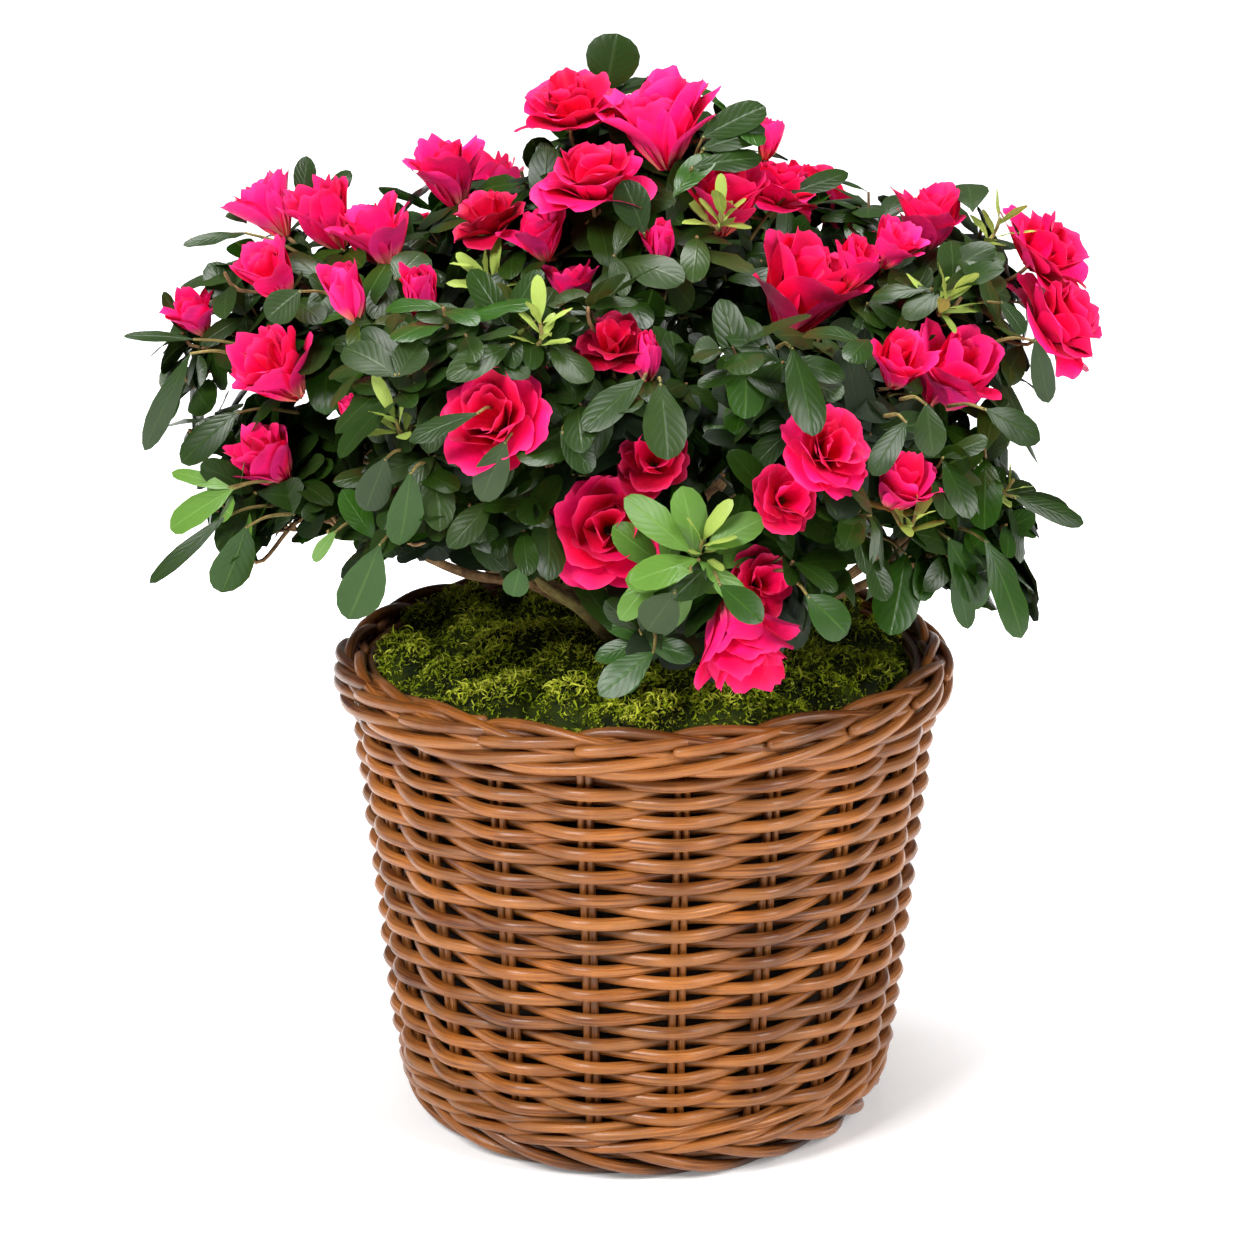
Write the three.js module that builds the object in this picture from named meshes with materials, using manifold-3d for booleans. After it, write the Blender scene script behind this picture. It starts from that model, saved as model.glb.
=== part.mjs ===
// Double-flowered azalea in a woven wicker basket, with moss round its foot.
// Millimetres, +Z up. The origin is the centre of the basket's flat underside.
// -Y is the front, the side from which the plant is usually seen.

import * as THREE from 'three';
import { mergeVertices } from 'three/addons/utils/BufferGeometryUtils.js';
import Module from 'manifold-3d';

const wasm = await Module();
wasm.setup();
const { Manifold, Mesh } = wasm;

// Basket
const gap = 0.3;                  // clear width between two touching pieces
const mergeWithin = 0.01;         // corners nearer than this are one corner
const stakeCount = 19;            // pairs of upright rods
const stakeRadiusAtFoot = 123.5;  // radius of the circle of uprights at z = 0
const flarePerHeight = 0.108;     // how fast that circle widens upwards
const stakeThickness = 4.2;
const weaverThickness = 6.3;
const baseRadius = 112.5;
const baseThickness = 8;
const wallBottom = 22.3;
const wallTop = 231;
const weaveRows = 15;
const rimSegments = 2 * stakeCount;
const rimStrandDepth = 1.3;       // relief of the rods that wrap the border
const footSegments = 2 * stakeCount;

// Filling
const soilTop = 241;
const soilRadiusTop = 137;
const soilSegments = 20;
const mossRadius = 139.4;
const mossCrown = 22;             // height of the moss dome above the soil, at the middle
const mossEdge = 9;               // the same beside the border
const mossShoulder = 0.96;        // where the dome's top begins, as a share of its radius
const mossLump = 7;               // how much its points are moved about
const mossRings = 6;
const mossSegments = 20;

// Trunk
const trunkSides = 8;
const trunkSteps = 7;
const trunkTop = 300;
const trunkCourse = [[-16, 2, soilTop + gap], [-16, 2, 252], [-14, 1, 268], [-10, 0, trunkTop]];
const trunkRadii = [16, 11, 9.2, 8];

// Boughs
const boughShare = 0.62;          // how near to its mass's centre a bough comes
const boughRadii = [5.2, 4, 2.6];
const boughSides = 5;
const boughSteps = 4;
const highestBough = 0.97;        // share of the trunk's length above which none leaves it

// Crown
const crownHeart = new THREE.Vector3(-10, 0, 335);  // blossoms and shoots face away from it
const reach = { left: -264, right: 240, front: -204, back: 204, bottom: 259, top: 566 };
const leafLength = 46;
const leafWidth = 22;
const leafThickness = 1.6;
const leafSpacing = 6;            // closest that two leaves may come to each other
const tipSpacing = 42;            // closest that two shoot tips of a mass may be
const tipsPerMass = 8;            // places tried on each mass's surface
const stemGap = 0.35;             // clear width between a bough's tip and its mass's stem
const stemRadii = [3, 2.4];
const stemPast = 0.25;            // how far the stem runs past its mass's centre, as a share
const stemRise = 2;
const twigRadii = [1.3, 1.3];
const twigsFrom = 0.2;            // where on the stem the first twig leaves it
const twigsOver = 0.75;           // the share of the stem that bears twigs
const twigRise = 0.1;             // how far a twig's middle rises, as a share of its length
const blossomSink = 0.35;         // how far a twig's end lies behind its blossom's centre, in radii
const whorl = { count: 6, spread: 1.0, from: 0.98 };     // leaves at a shoot's tip
const collar = { count: 2, spread: 1.2, from: 0.75 };    // leaves below a blossom
const whorlStep = 0.045;          // how far each leaf's root lies below the last, as a share
const twigSpacing = 3;            // closest that a leaf may come to another twig
const smallestBlossom = 6;
const funnelReach = 1.1;          // a blossom's farthest point from its centre, in radii
const spaceMargin = 0.5;          // clear width kept to a neighbouring mass's space
const tipMargin = 4;              // the same at a shoot's tip
const limbMargin = 1.2;           // clear width kept to boughs and trunk
const mossMargin = 6;             // clear height kept over the moss
const border = { inside: 138, outside: 170, top: 257 };  // what leaves hang clear of
const goldenTurn = Math.PI * (3 - Math.sqrt(5));
const up = new THREE.Vector3(0, 0, 1);

const finishes = {
  wicker: { color: 0x9a5f35, roughness: 0.5, metalness: 0 },
  soil: { color: 0x2a1d13, roughness: 1, metalness: 0 },
  moss: { color: 0x46540f, roughness: 1, metalness: 0 },
  bark: { color: 0x6d5236, roughness: 0.85, metalness: 0 },
  foliage: { color: 0x2c5232, roughness: 0.5, metalness: 0 },
};

const group = new THREE.Group();

function place(name, geometry, finish) {
  geometry.computeVertexNormals();
  const mesh = new THREE.Mesh(geometry, new THREE.MeshStandardMaterial(finishes[finish]));
  mesh.name = name;
  group.add(mesh);
}

// A repeatable run of numbers between 0 and 1, so that the same plant grows each time.
function numbersFrom(seed) {
  let state = seed;
  return () => {
    state = (state * 1664525 + 1013904223) % 4294967296;
    return state / 4294967296;
  };
}

// Merges shared vertices, drops faces without area and turns every face outwards.
function closed(source) {
  const bare = source.clone();
  bare.deleteAttribute('normal');
  bare.deleteAttribute('uv');
  const merged = mergeVertices(bare, mergeWithin);
  const corner = merged.attributes.position;
  const index = [];
  let volume = 0;
  const [a, b, c] = [new THREE.Vector3(), new THREE.Vector3(), new THREE.Vector3()];
  for (let i = 0; i < merged.index.count; i += 3) {
    const face = [0, 1, 2].map((k) => merged.index.getX(i + k));
    if (face[0] === face[1] || face[1] === face[2] || face[2] === face[0]) continue;
    index.push(...face);
    a.fromBufferAttribute(corner, face[0]);
    b.fromBufferAttribute(corner, face[1]);
    c.fromBufferAttribute(corner, face[2]);
    volume += a.dot(b.cross(c));
  }
  merged.setIndex(volume < 0 ? index.reverse() : index);
  return merged;
}

function solidOf(geometry) {
  const shape = closed(geometry);
  return new Manifold(new Mesh({
    numProp: 3,
    vertProperties: new Float32Array(shape.attributes.position.array),
    triVerts: new Uint32Array(shape.index.array),
  }));
}

// The richest body of a solid: a sealed hollow is filled and a loose scrap is dropped.
function mainBody(solid) {
  return solid.decompose().reduce((best, body) => (body.numTri() > best.numTri() ? body : best));
}

function facesOf(solid) {
  const mesh = solid.getMesh();
  const geometry = new THREE.BufferGeometry();
  geometry.setAttribute('position', new THREE.BufferAttribute(new Float32Array(mesh.vertProperties), 3));
  geometry.setIndex(new THREE.BufferAttribute(new Uint32Array(mesh.triVerts), 1));
  return geometry.toNonIndexed();
}

// Cutting can leave hairline faces, and merging their corners can part a scrap from the rest.
function geometryOf(solid) {
  return facesOf(mainBody(solidOf(facesOf(mainBody(solid)))));
}

// A turned ring or disc. The outline lists [radius, height] points, and closes on itself
// where it doesn't start on the axis. reshape(point, turn, k, column) moves outline point k.
function turned(outline, segments, reshape) {
  const profile = outline[0][0] > 0 ? [...outline, outline[0]] : outline;
  const points = profile.map(([radius, height]) => new THREE.Vector2(radius, height));
  const geometry = new THREE.LatheGeometry(points, segments);
  const position = geometry.attributes.position;
  for (let column = 0; column < segments; column += 1) {
    const turn = column * 2 * Math.PI / segments;
    for (let k = 0; k < profile.length; k += 1) {
      const point = { radius: profile[k][0], height: profile[k][1] };
      if (reshape) reshape(point, turn, k % outline.length, column);
      const moved = [-point.radius * Math.sin(turn), point.radius * Math.cos(turn), point.height];
      position.setXYZ(column * profile.length + k, ...moved);
      if (column === 0) position.setXYZ(segments * profile.length + k, ...moved);
    }
  }
  return closed(geometry);
}

// The basket

const stakeRadiusAt = (height) => stakeRadiusAtFoot + flarePerHeight * height;

function basketBase() {
  return turned([[0, 0], [baseRadius, 0], [baseRadius, baseThickness], [0, baseThickness]], 2 * stakeCount);
}

// Rods that wrap under the foot: a rounded ring, flat below, with one swelling to each rod.
function footBorder() {
  const inner = baseRadius + gap;
  const outline = [
    [inner, 0], [119, 0], [126, 5.5], [131, 12], [132.5, wallBottom - gap], [inner + 4, wallBottom - gap],
  ];
  const outerPoints = [2, 3];
  return turned(outline, footSegments, (point, turn, k, column) => {
    if (outerPoints.includes(k)) point.radius += column % 2 ? 1 : -1;
  });
}

// One weaver passes in front of an upright and behind the next, and each row is out where
// the row below is in. Between two uprights the weaver lies on their own circle.
function basketWall() {
  const inFront = stakeThickness / 2 + weaverThickness;
  const behind = stakeThickness / 2;
  const between = weaverThickness / 2;
  const inside = inFront;
  const outline = [];
  for (let row = 0; row < weaveRows; row += 1) {
    const height = wallBottom + (wallTop - wallBottom) * row / (weaveRows - 1);
    outline.push([stakeRadiusAt(height), height]);
  }
  outline.push([stakeRadiusAt(wallTop) - inside, wallTop]);
  outline.push([stakeRadiusAt(wallBottom) - inside, wallBottom]);
  return turned(outline, 2 * stakeCount, (point, turn, k, column) => {
    if (k >= weaveRows) return;
    if (column % 2) point.radius += between;
    else point.radius += (column / 2 + k) % 2 ? inFront : behind;
  });
}

// Border rods run along the rim and roll over it from the outside to the inside.
function rimBorder() {
  const bottom = wallTop + gap;
  const outline = [
    [147, bottom], [158.5, bottom], [163.4, 239], [161.6, 249],
    [154, 255.4], [146, 251.5], [143, 241],
  ];
  const middle = [153.5, 243];
  return turned(outline, rimSegments, (point, turn, k) => {
    const around = Math.atan2(point.height - middle[1], point.radius - middle[0]);
    const swell = rimStrandDepth * Math.cos(stakeCount * turn - around * 2);
    point.radius += swell * Math.cos(around);
    if (k > 1) point.height += swell * Math.sin(around);
  });
}

// The filling

function soilBall() {
  const under = baseThickness + gap;
  const atWall = wallBottom + gap;
  const inside = stakeThickness / 2 + weaverThickness + gap;
  return turned([
    [0, under], [baseRadius, under], [stakeRadiusAt(atWall) - inside - 4, atWall],
    [soilRadiusTop, wallTop], [soilRadiusTop, soilTop], [0, soilTop],
  ], soilSegments);
}

function mossHeight(radius) {
  const share = Math.min(radius / mossRadius, 1);
  return soilTop + mossEdge + (mossCrown - mossEdge) * (1 - share * share);
}

// A lumpy dome on the soil, cut round the trunk.
function mossDome() {
  const random = numbersFrom(71);
  const outline = [[0, soilTop + gap], [mossRadius - 1, soilTop + gap], [mossRadius, soilTop + mossEdge - 3]];
  for (let ring = mossRings - 1; ring >= 0; ring -= 1) {
    const radius = mossRadius * mossShoulder * ring / (mossRings - 1);
    outline.push([radius, mossHeight(radius)]);
  }
  return turned(outline, mossSegments, (point, turn, k) => {
    if (k > 2 && k < outline.length - 1) point.height += (random() - 0.5) * mossLump;
    if (k > 3 && k < outline.length - 1) point.radius += (random() - 0.5) * mossLump;
  });
}

// Limbs. Each is a round bar bent along a smooth course, with a radius that tapers. Its
// spots are the places where its distance from other things is measured.

const spotSteps = 24;

class Limb {
  constructor(course, radii, sides, steps) {
    this.curve = new THREE.CatmullRomCurve3(course.map((point) => new THREE.Vector3(...point)));
    this.radii = radii;
    this.sides = sides;
    this.steps = steps;
    this.spots = Array.from({ length: spotSteps + 1 }, (_, i) => ({
      at: this.curve.getPointAt(i / spotSteps),
      radius: this.radiusAt(i / spotSteps),
    }));
  }

  radiusAt(share) {
    const place = share * (this.radii.length - 1);
    const low = Math.min(Math.floor(place), this.radii.length - 2);
    return THREE.MathUtils.lerp(this.radii[low], this.radii[low + 1], place - low);
  }

  // extra widens the limb all over, for cutting a neighbour clear of it
  geometry(extra = 0) {
    const bar = new THREE.CylinderGeometry(1, 1, 1, this.sides, this.steps);
    const frames = this.curve.computeFrenetFrames(this.steps, false);
    const position = bar.attributes.position;
    for (let i = 0; i < position.count; i += 1) {
      const step = Math.round((position.getY(i) + 0.5) * this.steps);
      const share = step / this.steps;
      const radius = this.radiusAt(share) + extra;
      const reach = step === 0 ? -extra : step === this.steps ? extra : 0;
      const point = this.curve.getPointAt(share)
        .addScaledVector(frames.normals[step], position.getX(i) * radius)
        .addScaledVector(frames.binormals[step], position.getZ(i) * radius)
        .addScaledVector(frames.tangents[step], reach);
      position.setXYZ(i, point.x, point.y, point.z);
    }
    return closed(bar);
  }

  clearance(point) {
    return Math.min(...this.spots.map(({ at, radius }) => at.distanceTo(point) - radius));
  }

  tip() {
    return { at: this.curve.getPointAt(1), along: this.curve.getTangentAt(1) };
  }
}

function trunkSolid() {
  const trunk = new Limb(trunkCourse, trunkRadii, trunkSides, trunkSteps);
  const [x, y, foot] = trunkCourse[0];
  const below = new THREE.BoxGeometry(60, 60, 20).translate(x, y, foot - 10);
  return { trunk, solid: solidOf(trunk.geometry()).subtract(solidOf(below)) };
}

// Masses of the crown. seed sets how a mass branches, centre and half give its place and its
// half sizes, leaves is the height at which its bough leaves the trunk, and bend the middle
// of the bough. flowers and buds list the centre and radius of each blossom that shows, and
// shoots the leafy tips that make the outline.
const masses = {
  crown_top: {
    seed: 107,
    centre: [-8, 5, 496], half: [84, 78, 66], leaves: 298, bend: [-16, 4, 380],
    flowers: [[-40, -23, 540, 23], [8, -30, 536, 27], [-28, -52, 512, 24], [-84, 4, 509, 21],
      [-70, -36, 490, 17], [-42, -60, 470, 15], [35, -44, 506, 20], [60, -12, 504, 19]],
    buds: [[6, -64, 484, 10], [62, 2, 526, 9]],
    shoots: [[-16, 12, 548], [42, -14, 546], [-58, -14, 534]],
  },
  upper_left: {
    seed: 104,
    centre: [-148, -12, 430], half: [86, 80, 68], leaves: 296, bend: [-72, -6, 352],
    flowers: [[-197, 2, 492, 16], [-164, -12, 490, 24], [-132, -38, 484, 18], [-190, -48, 466, 19],
      [-230, -18, 438, 14], [-188, -66, 420, 22]],
    buds: [[-150, -72, 458, 11], [-118, -66, 456, 12], [-146, -57, 394, 10]],
    shoots: [[-172, 8, 488], [-236, -20, 428], [-206, 0, 484]],
  },
  upper_right: {
    seed: 109,
    centre: [150, -8, 428], half: [88, 80, 70], leaves: 294, bend: [62, -2, 344],
    flowers: [[80, -30, 462, 27], [110, -46, 470, 15], [128, -44, 480, 15], [146, -12, 490, 22],
      [202, -18, 470, 24], [212, -30, 442, 27], [160, -66, 420, 25]],
    buds: [],
    shoots: [[174, 4, 478], [158, -72, 458], [196, -60, 414], [110, -2, 498]],
  },
  side_left: {
    seed: 113,
    centre: [-184, -22, 344], half: [76, 74, 54], leaves: 272, bend: [-82, -12, 300],
    flowers: [[-193, -66, 374, 20]],
    buds: [],
    shoots: [[-236, -16, 370], [-234, -58, 346], [-238, -40, 308], [-208, -70, 300], [-150, -66, 300]],
  },
  side_right: {
    seed: 113,
    centre: [168, -22, 338], half: [72, 74, 60], leaves: 268, bend: [78, -10, 282],
    flowers: [],
    buds: [],
    shoots: [[198, -56, 372], [214, -50, 346], [198, -44, 290], [168, -66, 292], [184, -70, 340]],
  },
  front_left: {
    seed: 115,
    centre: [-94, -112, 416], half: [72, 70, 50], leaves: 288, bend: [-62, -52, 320],
    flowers: [[-74, -156, 416, 27]],
    buds: [],
    shoots: [[-80, -146, 450], [-122, -134, 440], [-121, -148, 414], [-56, -150, 446]],
  },
  front_middle: {
    seed: 108,
    centre: [-10, -114, 400], half: [60, 66, 58], leaves: 290, bend: [-12, -50, 352],
    flowers: [[-16, -124, 446, 19], [4, -146, 388, 20], [-22, -138, 358, 27]],
    buds: [[2, -126, 442, 12]],
    shoots: [[-30, -158, 412], [8, -160, 420]],
  },
  front_right: {
    seed: 112,
    centre: [94, -120, 408], half: [74, 70, 60], leaves: 286, bend: [50, -52, 330],
    flowers: [[88, -168, 404, 21], [68, -164, 382, 17], [126, -148, 384, 19], [124, -126, 438, 17]],
    buds: [],
    shoots: [[48, -160, 442], [84, -166, 438], [112, -140, 456], [148, -138, 384]],
  },
  low_left: {
    seed: 114,
    centre: [-98, -104, 350], half: [66, 62, 34], leaves: 278, bend: [-50, -46, 296],
    flowers: [],
    buds: [],
    shoots: [[-140, -132, 336], [-118, -134, 356], [-60, -148, 346]],
  },
  low_right: {
    seed: 118,
    centre: [50, -120, 320], half: [76, 62, 46], leaves: 270, bend: [22, -60, 284],
    flowers: [[46, -150, 300, 29], [60, -152, 331, 17]],
    buds: [],
    shoots: [[27, -146, 348], [0, -148, 312], [84, -152, 318], [112, -128, 316]],
  },
  back_left: {
    seed: 109,
    centre: [-92, 112, 414], half: [84, 78, 68], leaves: 292, bend: [-46, 48, 330],
    flowers: [[-120, 150, 446, 25], [-60, 160, 430, 27], [-96, 120, 470, 24], [-158, 120, 420, 22]],
    buds: [[-100, 176, 404, 11]],
    shoots: [],
  },
  back_right: {
    seed: 112,
    centre: [88, 112, 416], half: [84, 78, 66], leaves: 288, bend: [44, 48, 334],
    flowers: [[66, 160, 440, 27], [124, 148, 440, 25], [160, 112, 410, 22], [92, 118, 474, 22]],
    buds: [[30, 172, 410, 11]],
    shoots: [],
  },
  back_low_left: {
    seed: 103,
    centre: [-108, 110, 330], half: [74, 68, 46], leaves: 274, bend: [-50, 42, 290],
    flowers: [[-120, 162, 344, 24]],
    buds: [],
    shoots: [],
  },
  back_low_right: {
    seed: 102,
    centre: [104, 108, 330], half: [74, 68, 48], leaves: 272, bend: [48, 42, 286],
    flowers: [[90, 162, 342, 25], [158, 120, 336, 20]],
    buds: [],
    shoots: [],
  },
};

for (const mass of Object.values(masses)) {
  mass.centre = new THREE.Vector3(...mass.centre);
  mass.half = new THREE.Vector3(...mass.half);
}

// Boughs leave the trunk low or high, bend once and end where they enter their mass.

function boughFor(mass, trunk) {
  const foot = trunkCourse[0][2];
  const share = THREE.MathUtils.clamp((mass.leaves - foot) / (trunkTop - foot), 0, highestBough);
  const start = trunk.curve.getPointAt(share);
  const bend = new THREE.Vector3(...mass.bend);
  const end = bend.clone().lerp(mass.centre, boughShare);
  return new Limb([start.toArray(), mass.bend, end.toArray()], boughRadii, boughSides, boughSteps);
}

// A mass's own space: the half spaces nearer to its centre than to any other mass's, which
// is convex, clear of every limb, of the moss and of the border.

function clearOfPot(point) {
  const radius = Math.hypot(point.x, point.y);
  if (radius < border.inside) return point.z > mossHeight(radius) + mossMargin;
  return point.z > border.top || radius > border.outside;
}

function roomAt(point, mass) {
  let room = Infinity;
  for (const other of Object.values(masses)) {
    if (other === mass) continue;
    const between = other.centre.clone().sub(mass.centre);
    const middle = other.centre.clone().add(mass.centre).multiplyScalar(0.5);
    room = Math.min(room, middle.sub(point).dot(between) / between.length());
  }
  return room - spaceMargin;
}

function withinReach({ x, y, z }) {
  return x > reach.left && x < reach.right && y > reach.front && y < reach.back
    && z > reach.bottom && z < reach.top;
}

function fits(points, mass, limbs) {
  return points.every((point) => roomAt(point, mass) > 0 && clearOfPot(point) && withinReach(point)
    && limbs.every((limb) => limb.clearance(point) > limbMargin));
}

// A leaf is a thin blade with six faces: it runs from its root to its tip, widest past the
// middle, with a midrib raised along its upper side.
function leafBlade(root, along, face, length) {
  const side = new THREE.Vector3().crossVectors(along, face).normalize();
  const normal = new THREE.Vector3().crossVectors(side, along).normalize();
  const basis = new THREE.Matrix4().makeBasis(along, side, normal);
  const blade = new THREE.SphereGeometry(1, 3, 2);
  const position = blade.attributes.position;
  const widest = 0.56;            // share of its length
  const width = leafWidth * length / leafLength;
  for (let i = 0; i < position.count; i += 1) {
    const forward = length * (position.getY(i) > 0.5 ? 1 : position.getY(i) < -0.5 ? 0 : widest);
    const across = Math.sign(Math.round(position.getZ(i))) * width / 2;
    const raised = position.getX(i) < -0.5 ? leafThickness : 0;
    position.setXYZ(i, forward, across, raised);
  }
  blade.applyMatrix4(basis).translate(root.x, root.y, root.z);
  const tip = root.clone().addScaledVector(along, length);
  const middle = root.clone().addScaledVector(along, length * widest);
  const edges = [-1, 1].map((way) => middle.clone().addScaledVector(side, way * width / 2));
  const outer = [0.3, 0.8].map((share) => root.clone().addScaledVector(along, length * share));
  return { blade, probes: [tip, middle, ...edges, ...outer] };
}

// A blossom is a funnel whose rim has five lobes. It opens along facing.
function blossomFunnel(centre, facing, radius) {
  const lobes = 5;
  const outline = [[0, -0.75], [1, 0.4], [0, 0.12]];
  const funnel = turned(outline, 2 * lobes, (point, turn, k, column) => {
    if (k === 1 && column % 2) {
      point.radius *= 0.76;
      point.height -= 0.2;
    }
  });
  const tilt = new THREE.Quaternion().setFromUnitVectors(up, facing);
  return funnel.scale(radius, radius, radius).applyQuaternion(tilt).translate(centre.x, centre.y, centre.z);
}

// A bud is a slim spindle along facing.
function budSpindle(centre, facing, radius) {
  const tilt = new THREE.Quaternion().setFromUnitVectors(up, facing);
  return new THREE.OctahedronGeometry(1).scale(0.8 * radius, 0.8 * radius, 1.5 * radius)
    .applyQuaternion(tilt).translate(centre.x, centre.y, centre.z);
}

function facingAt(point) {
  return point.clone().sub(crownHeart).normalize().addScaledVector(up, 0.25).normalize();
}

// The tips of a mass's twigs: first its blossoms, buds and outline shoots, then places
// spread evenly over its surface, where the crown still has room for another tip.
function tipsOf(mass, random) {
  const tips = [];
  for (const [kind, spots] of Object.entries({ flower: mass.flowers, bud: mass.buds, shoot: mass.shoots })) {
    for (const [x, y, z, radius] of spots) tips.push({ kind, at: new THREE.Vector3(x, y, z), radius });
  }
  const turn = random() * 2 * Math.PI;
  for (let k = 0; k < tipsPerMass; k += 1) {
    const height = 1 - (2 * k + 1) / tipsPerMass;
    const flat = Math.sqrt(1 - height * height);
    const round = turn + k * goldenTurn;
    const away = new THREE.Vector3(flat * Math.cos(round), flat * Math.sin(round), height);
    const at = away.multiply(mass.half).multiplyScalar(0.66 + 0.14 * random()).add(mass.centre);
    const crowded = tips.some((tip) => tip.at.distanceTo(at) < tipSpacing);
    if (!crowded && roomAt(at, mass) > tipMargin) tips.push({ kind: 'shoot', at });
  }
  return tips;
}

function limbThrough(points, radii, sides, steps) {
  return new Limb(points.map((point) => point.toArray()), radii, sides, steps);
}

// The stem goes on from the bough's tip to the middle of the mass. Each twig leaves it,
// rises a little and ends in a blossom or in a whorl of leaves.
function growMass(mass, bough, limbs, widerLimbs) {
  const random = numbersFrom(mass.seed);
  const { at, along } = bough.tip();
  const root = at.clone().addScaledVector(along, stemGap);
  const stemEnd = mass.centre.clone().lerp(root, -stemPast);
  const stemMiddle = root.clone().lerp(stemEnd, 0.5).addScaledVector(up, stemRise);
  const stem = limbThrough([root, stemMiddle, stemEnd], stemRadii, 5, 3);
  const others = limbs.filter((limb) => limb !== bough);
  const pieces = [stem.geometry()];
  const taken = [];
  const twigs = [];

  const tips = tipsOf(mass, random);
  for (const [i, tip] of tips.entries()) {
    const facing = facingAt(tip.at);
    const radius = Math.min(tip.radius ?? 0, roomAt(tip.at, mass) / funnelReach);
    const end = tip.at.clone().addScaledVector(facing, -blossomSink * radius);
    const start = stem.curve.getPointAt(twigsFrom + twigsOver * (i + 0.5) / tips.length);
    const middle = start.clone().lerp(end, 0.5).addScaledVector(up, twigRise * start.distanceTo(end));
    const twig = limbThrough([start, middle, end], twigRadii, 3, 2);
    const probes = twig.spots.slice(3).map((spot) => spot.at);
    if (!fits(probes, mass, others) || !fits(probes.slice(2), mass, limbs)) continue;
    const blooms = tip.kind !== 'shoot' && radius > smallestBlossom;
    pieces.push(twig.geometry());
    if (blooms) {
      const shape = tip.kind === 'flower' ? blossomFunnel : budSpindle;
      pieces.push(shape(tip.at, facing, radius));
      taken.push({ at: tip.at, radius: radius + 2, twig });
    }
    taken.push(...probes.map((spot) => ({ at: spot, radius: twigSpacing, twig })));
    twigs.push({ twig, blooms });
  }

  // Leaves wind round the end of a twig, each a little below the one before.
  for (const { twig, blooms } of twigs) {
    const { count, spread, from } = blooms ? collar : whorl;
    const start = random() * 2 * Math.PI;
    for (let k = 0; k < count; k += 1) {
      const share = from - k * whorlStep;
      const axis = twig.curve.getTangentAt(share);
      const turn = start + k * 2 * Math.PI / count + (random() - 0.5) * 0.6;
      const tilt = spread + (random() - 0.5) * 0.4;
      const out = new THREE.Vector3(axis.y, -axis.x, 0.01).normalize().applyAxisAngle(axis, turn);
      const direction = axis.clone().multiplyScalar(Math.cos(tilt)).addScaledVector(out, Math.sin(tilt));
      const length = leafLength * (0.85 + 0.25 * random());
      const face = new THREE.Vector3(random() - 0.5, random() - 0.5, 1.4).normalize();
      const root = twig.curve.getPointAt(share);
      const { blade, probes } = leafBlade(root, direction.normalize(), face, length);
      const crossing = probes.some((probe) => taken.some((spot) => (
        spot.twig !== twig && spot.at.distanceTo(probe) < spot.radius)));
      if (crossing || !fits(probes, mass, limbs)) continue;
      pieces.push(blade);
      taken.push(...probes.map((spot) => ({ at: spot, radius: leafSpacing })));
    }
  }
  return Manifold.union(pieces.map(solidOf)).subtract(widerLimbs);
}

place('basket_base', basketBase(), 'wicker');
place('foot_border', footBorder(), 'wicker');
place('basket_wall', basketWall(), 'wicker');
place('rim_border', rimBorder(), 'wicker');
place('soil_ball', soilBall(), 'soil');

const { trunk, solid: trunkBody } = trunkSolid();
const widerTrunk = solidOf(trunk.geometry(gap));
place('moss', geometryOf(solidOf(mossDome()).subtract(widerTrunk)), 'moss');
place('trunk', geometryOf(trunkBody), 'bark');

// Each bough is cut clear of the trunk and of the boughs before it.
const boughs = {};
let widerLimbs = widerTrunk;
for (const [name, mass] of Object.entries(masses)) {
  const bough = boughFor(mass, trunk);
  boughs[name] = bough;
  place(`bough_${name}`, geometryOf(solidOf(bough.geometry()).subtract(widerLimbs)), 'bark');
  widerLimbs = widerLimbs.add(solidOf(bough.geometry(gap)));
}

const limbs = [trunk, ...Object.values(boughs)];
for (const [name, mass] of Object.entries(masses)) {
  place(`foliage_${name}`, geometryOf(growMass(mass, boughs[name], limbs, widerLimbs)), 'foliage');
}

export default group;
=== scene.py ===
import math

import bpy
import numpy as np
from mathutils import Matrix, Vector


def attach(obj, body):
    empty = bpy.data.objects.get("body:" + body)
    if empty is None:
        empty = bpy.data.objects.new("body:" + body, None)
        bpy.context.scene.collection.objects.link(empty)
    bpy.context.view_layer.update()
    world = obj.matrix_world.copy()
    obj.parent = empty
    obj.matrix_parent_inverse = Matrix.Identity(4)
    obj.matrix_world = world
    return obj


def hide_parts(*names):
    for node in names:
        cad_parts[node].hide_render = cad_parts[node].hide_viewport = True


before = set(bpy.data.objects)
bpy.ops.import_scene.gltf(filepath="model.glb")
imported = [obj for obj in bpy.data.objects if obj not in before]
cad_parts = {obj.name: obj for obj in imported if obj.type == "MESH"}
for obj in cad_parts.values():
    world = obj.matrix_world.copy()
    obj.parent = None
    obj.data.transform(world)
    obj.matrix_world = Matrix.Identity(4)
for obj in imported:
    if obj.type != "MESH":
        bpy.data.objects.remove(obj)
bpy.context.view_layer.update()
print("frame loaded,", len(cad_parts), "nodes")

# Sizes below are millimetres, turned into metres where a mesh is made.
mm = 0.001
fullTurn = 2 * math.pi
goldenTurn = math.pi * (3 - math.sqrt(5))
upward = np.array([0.0, 0.0, 1.0])


# Camera, floor and light

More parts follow.
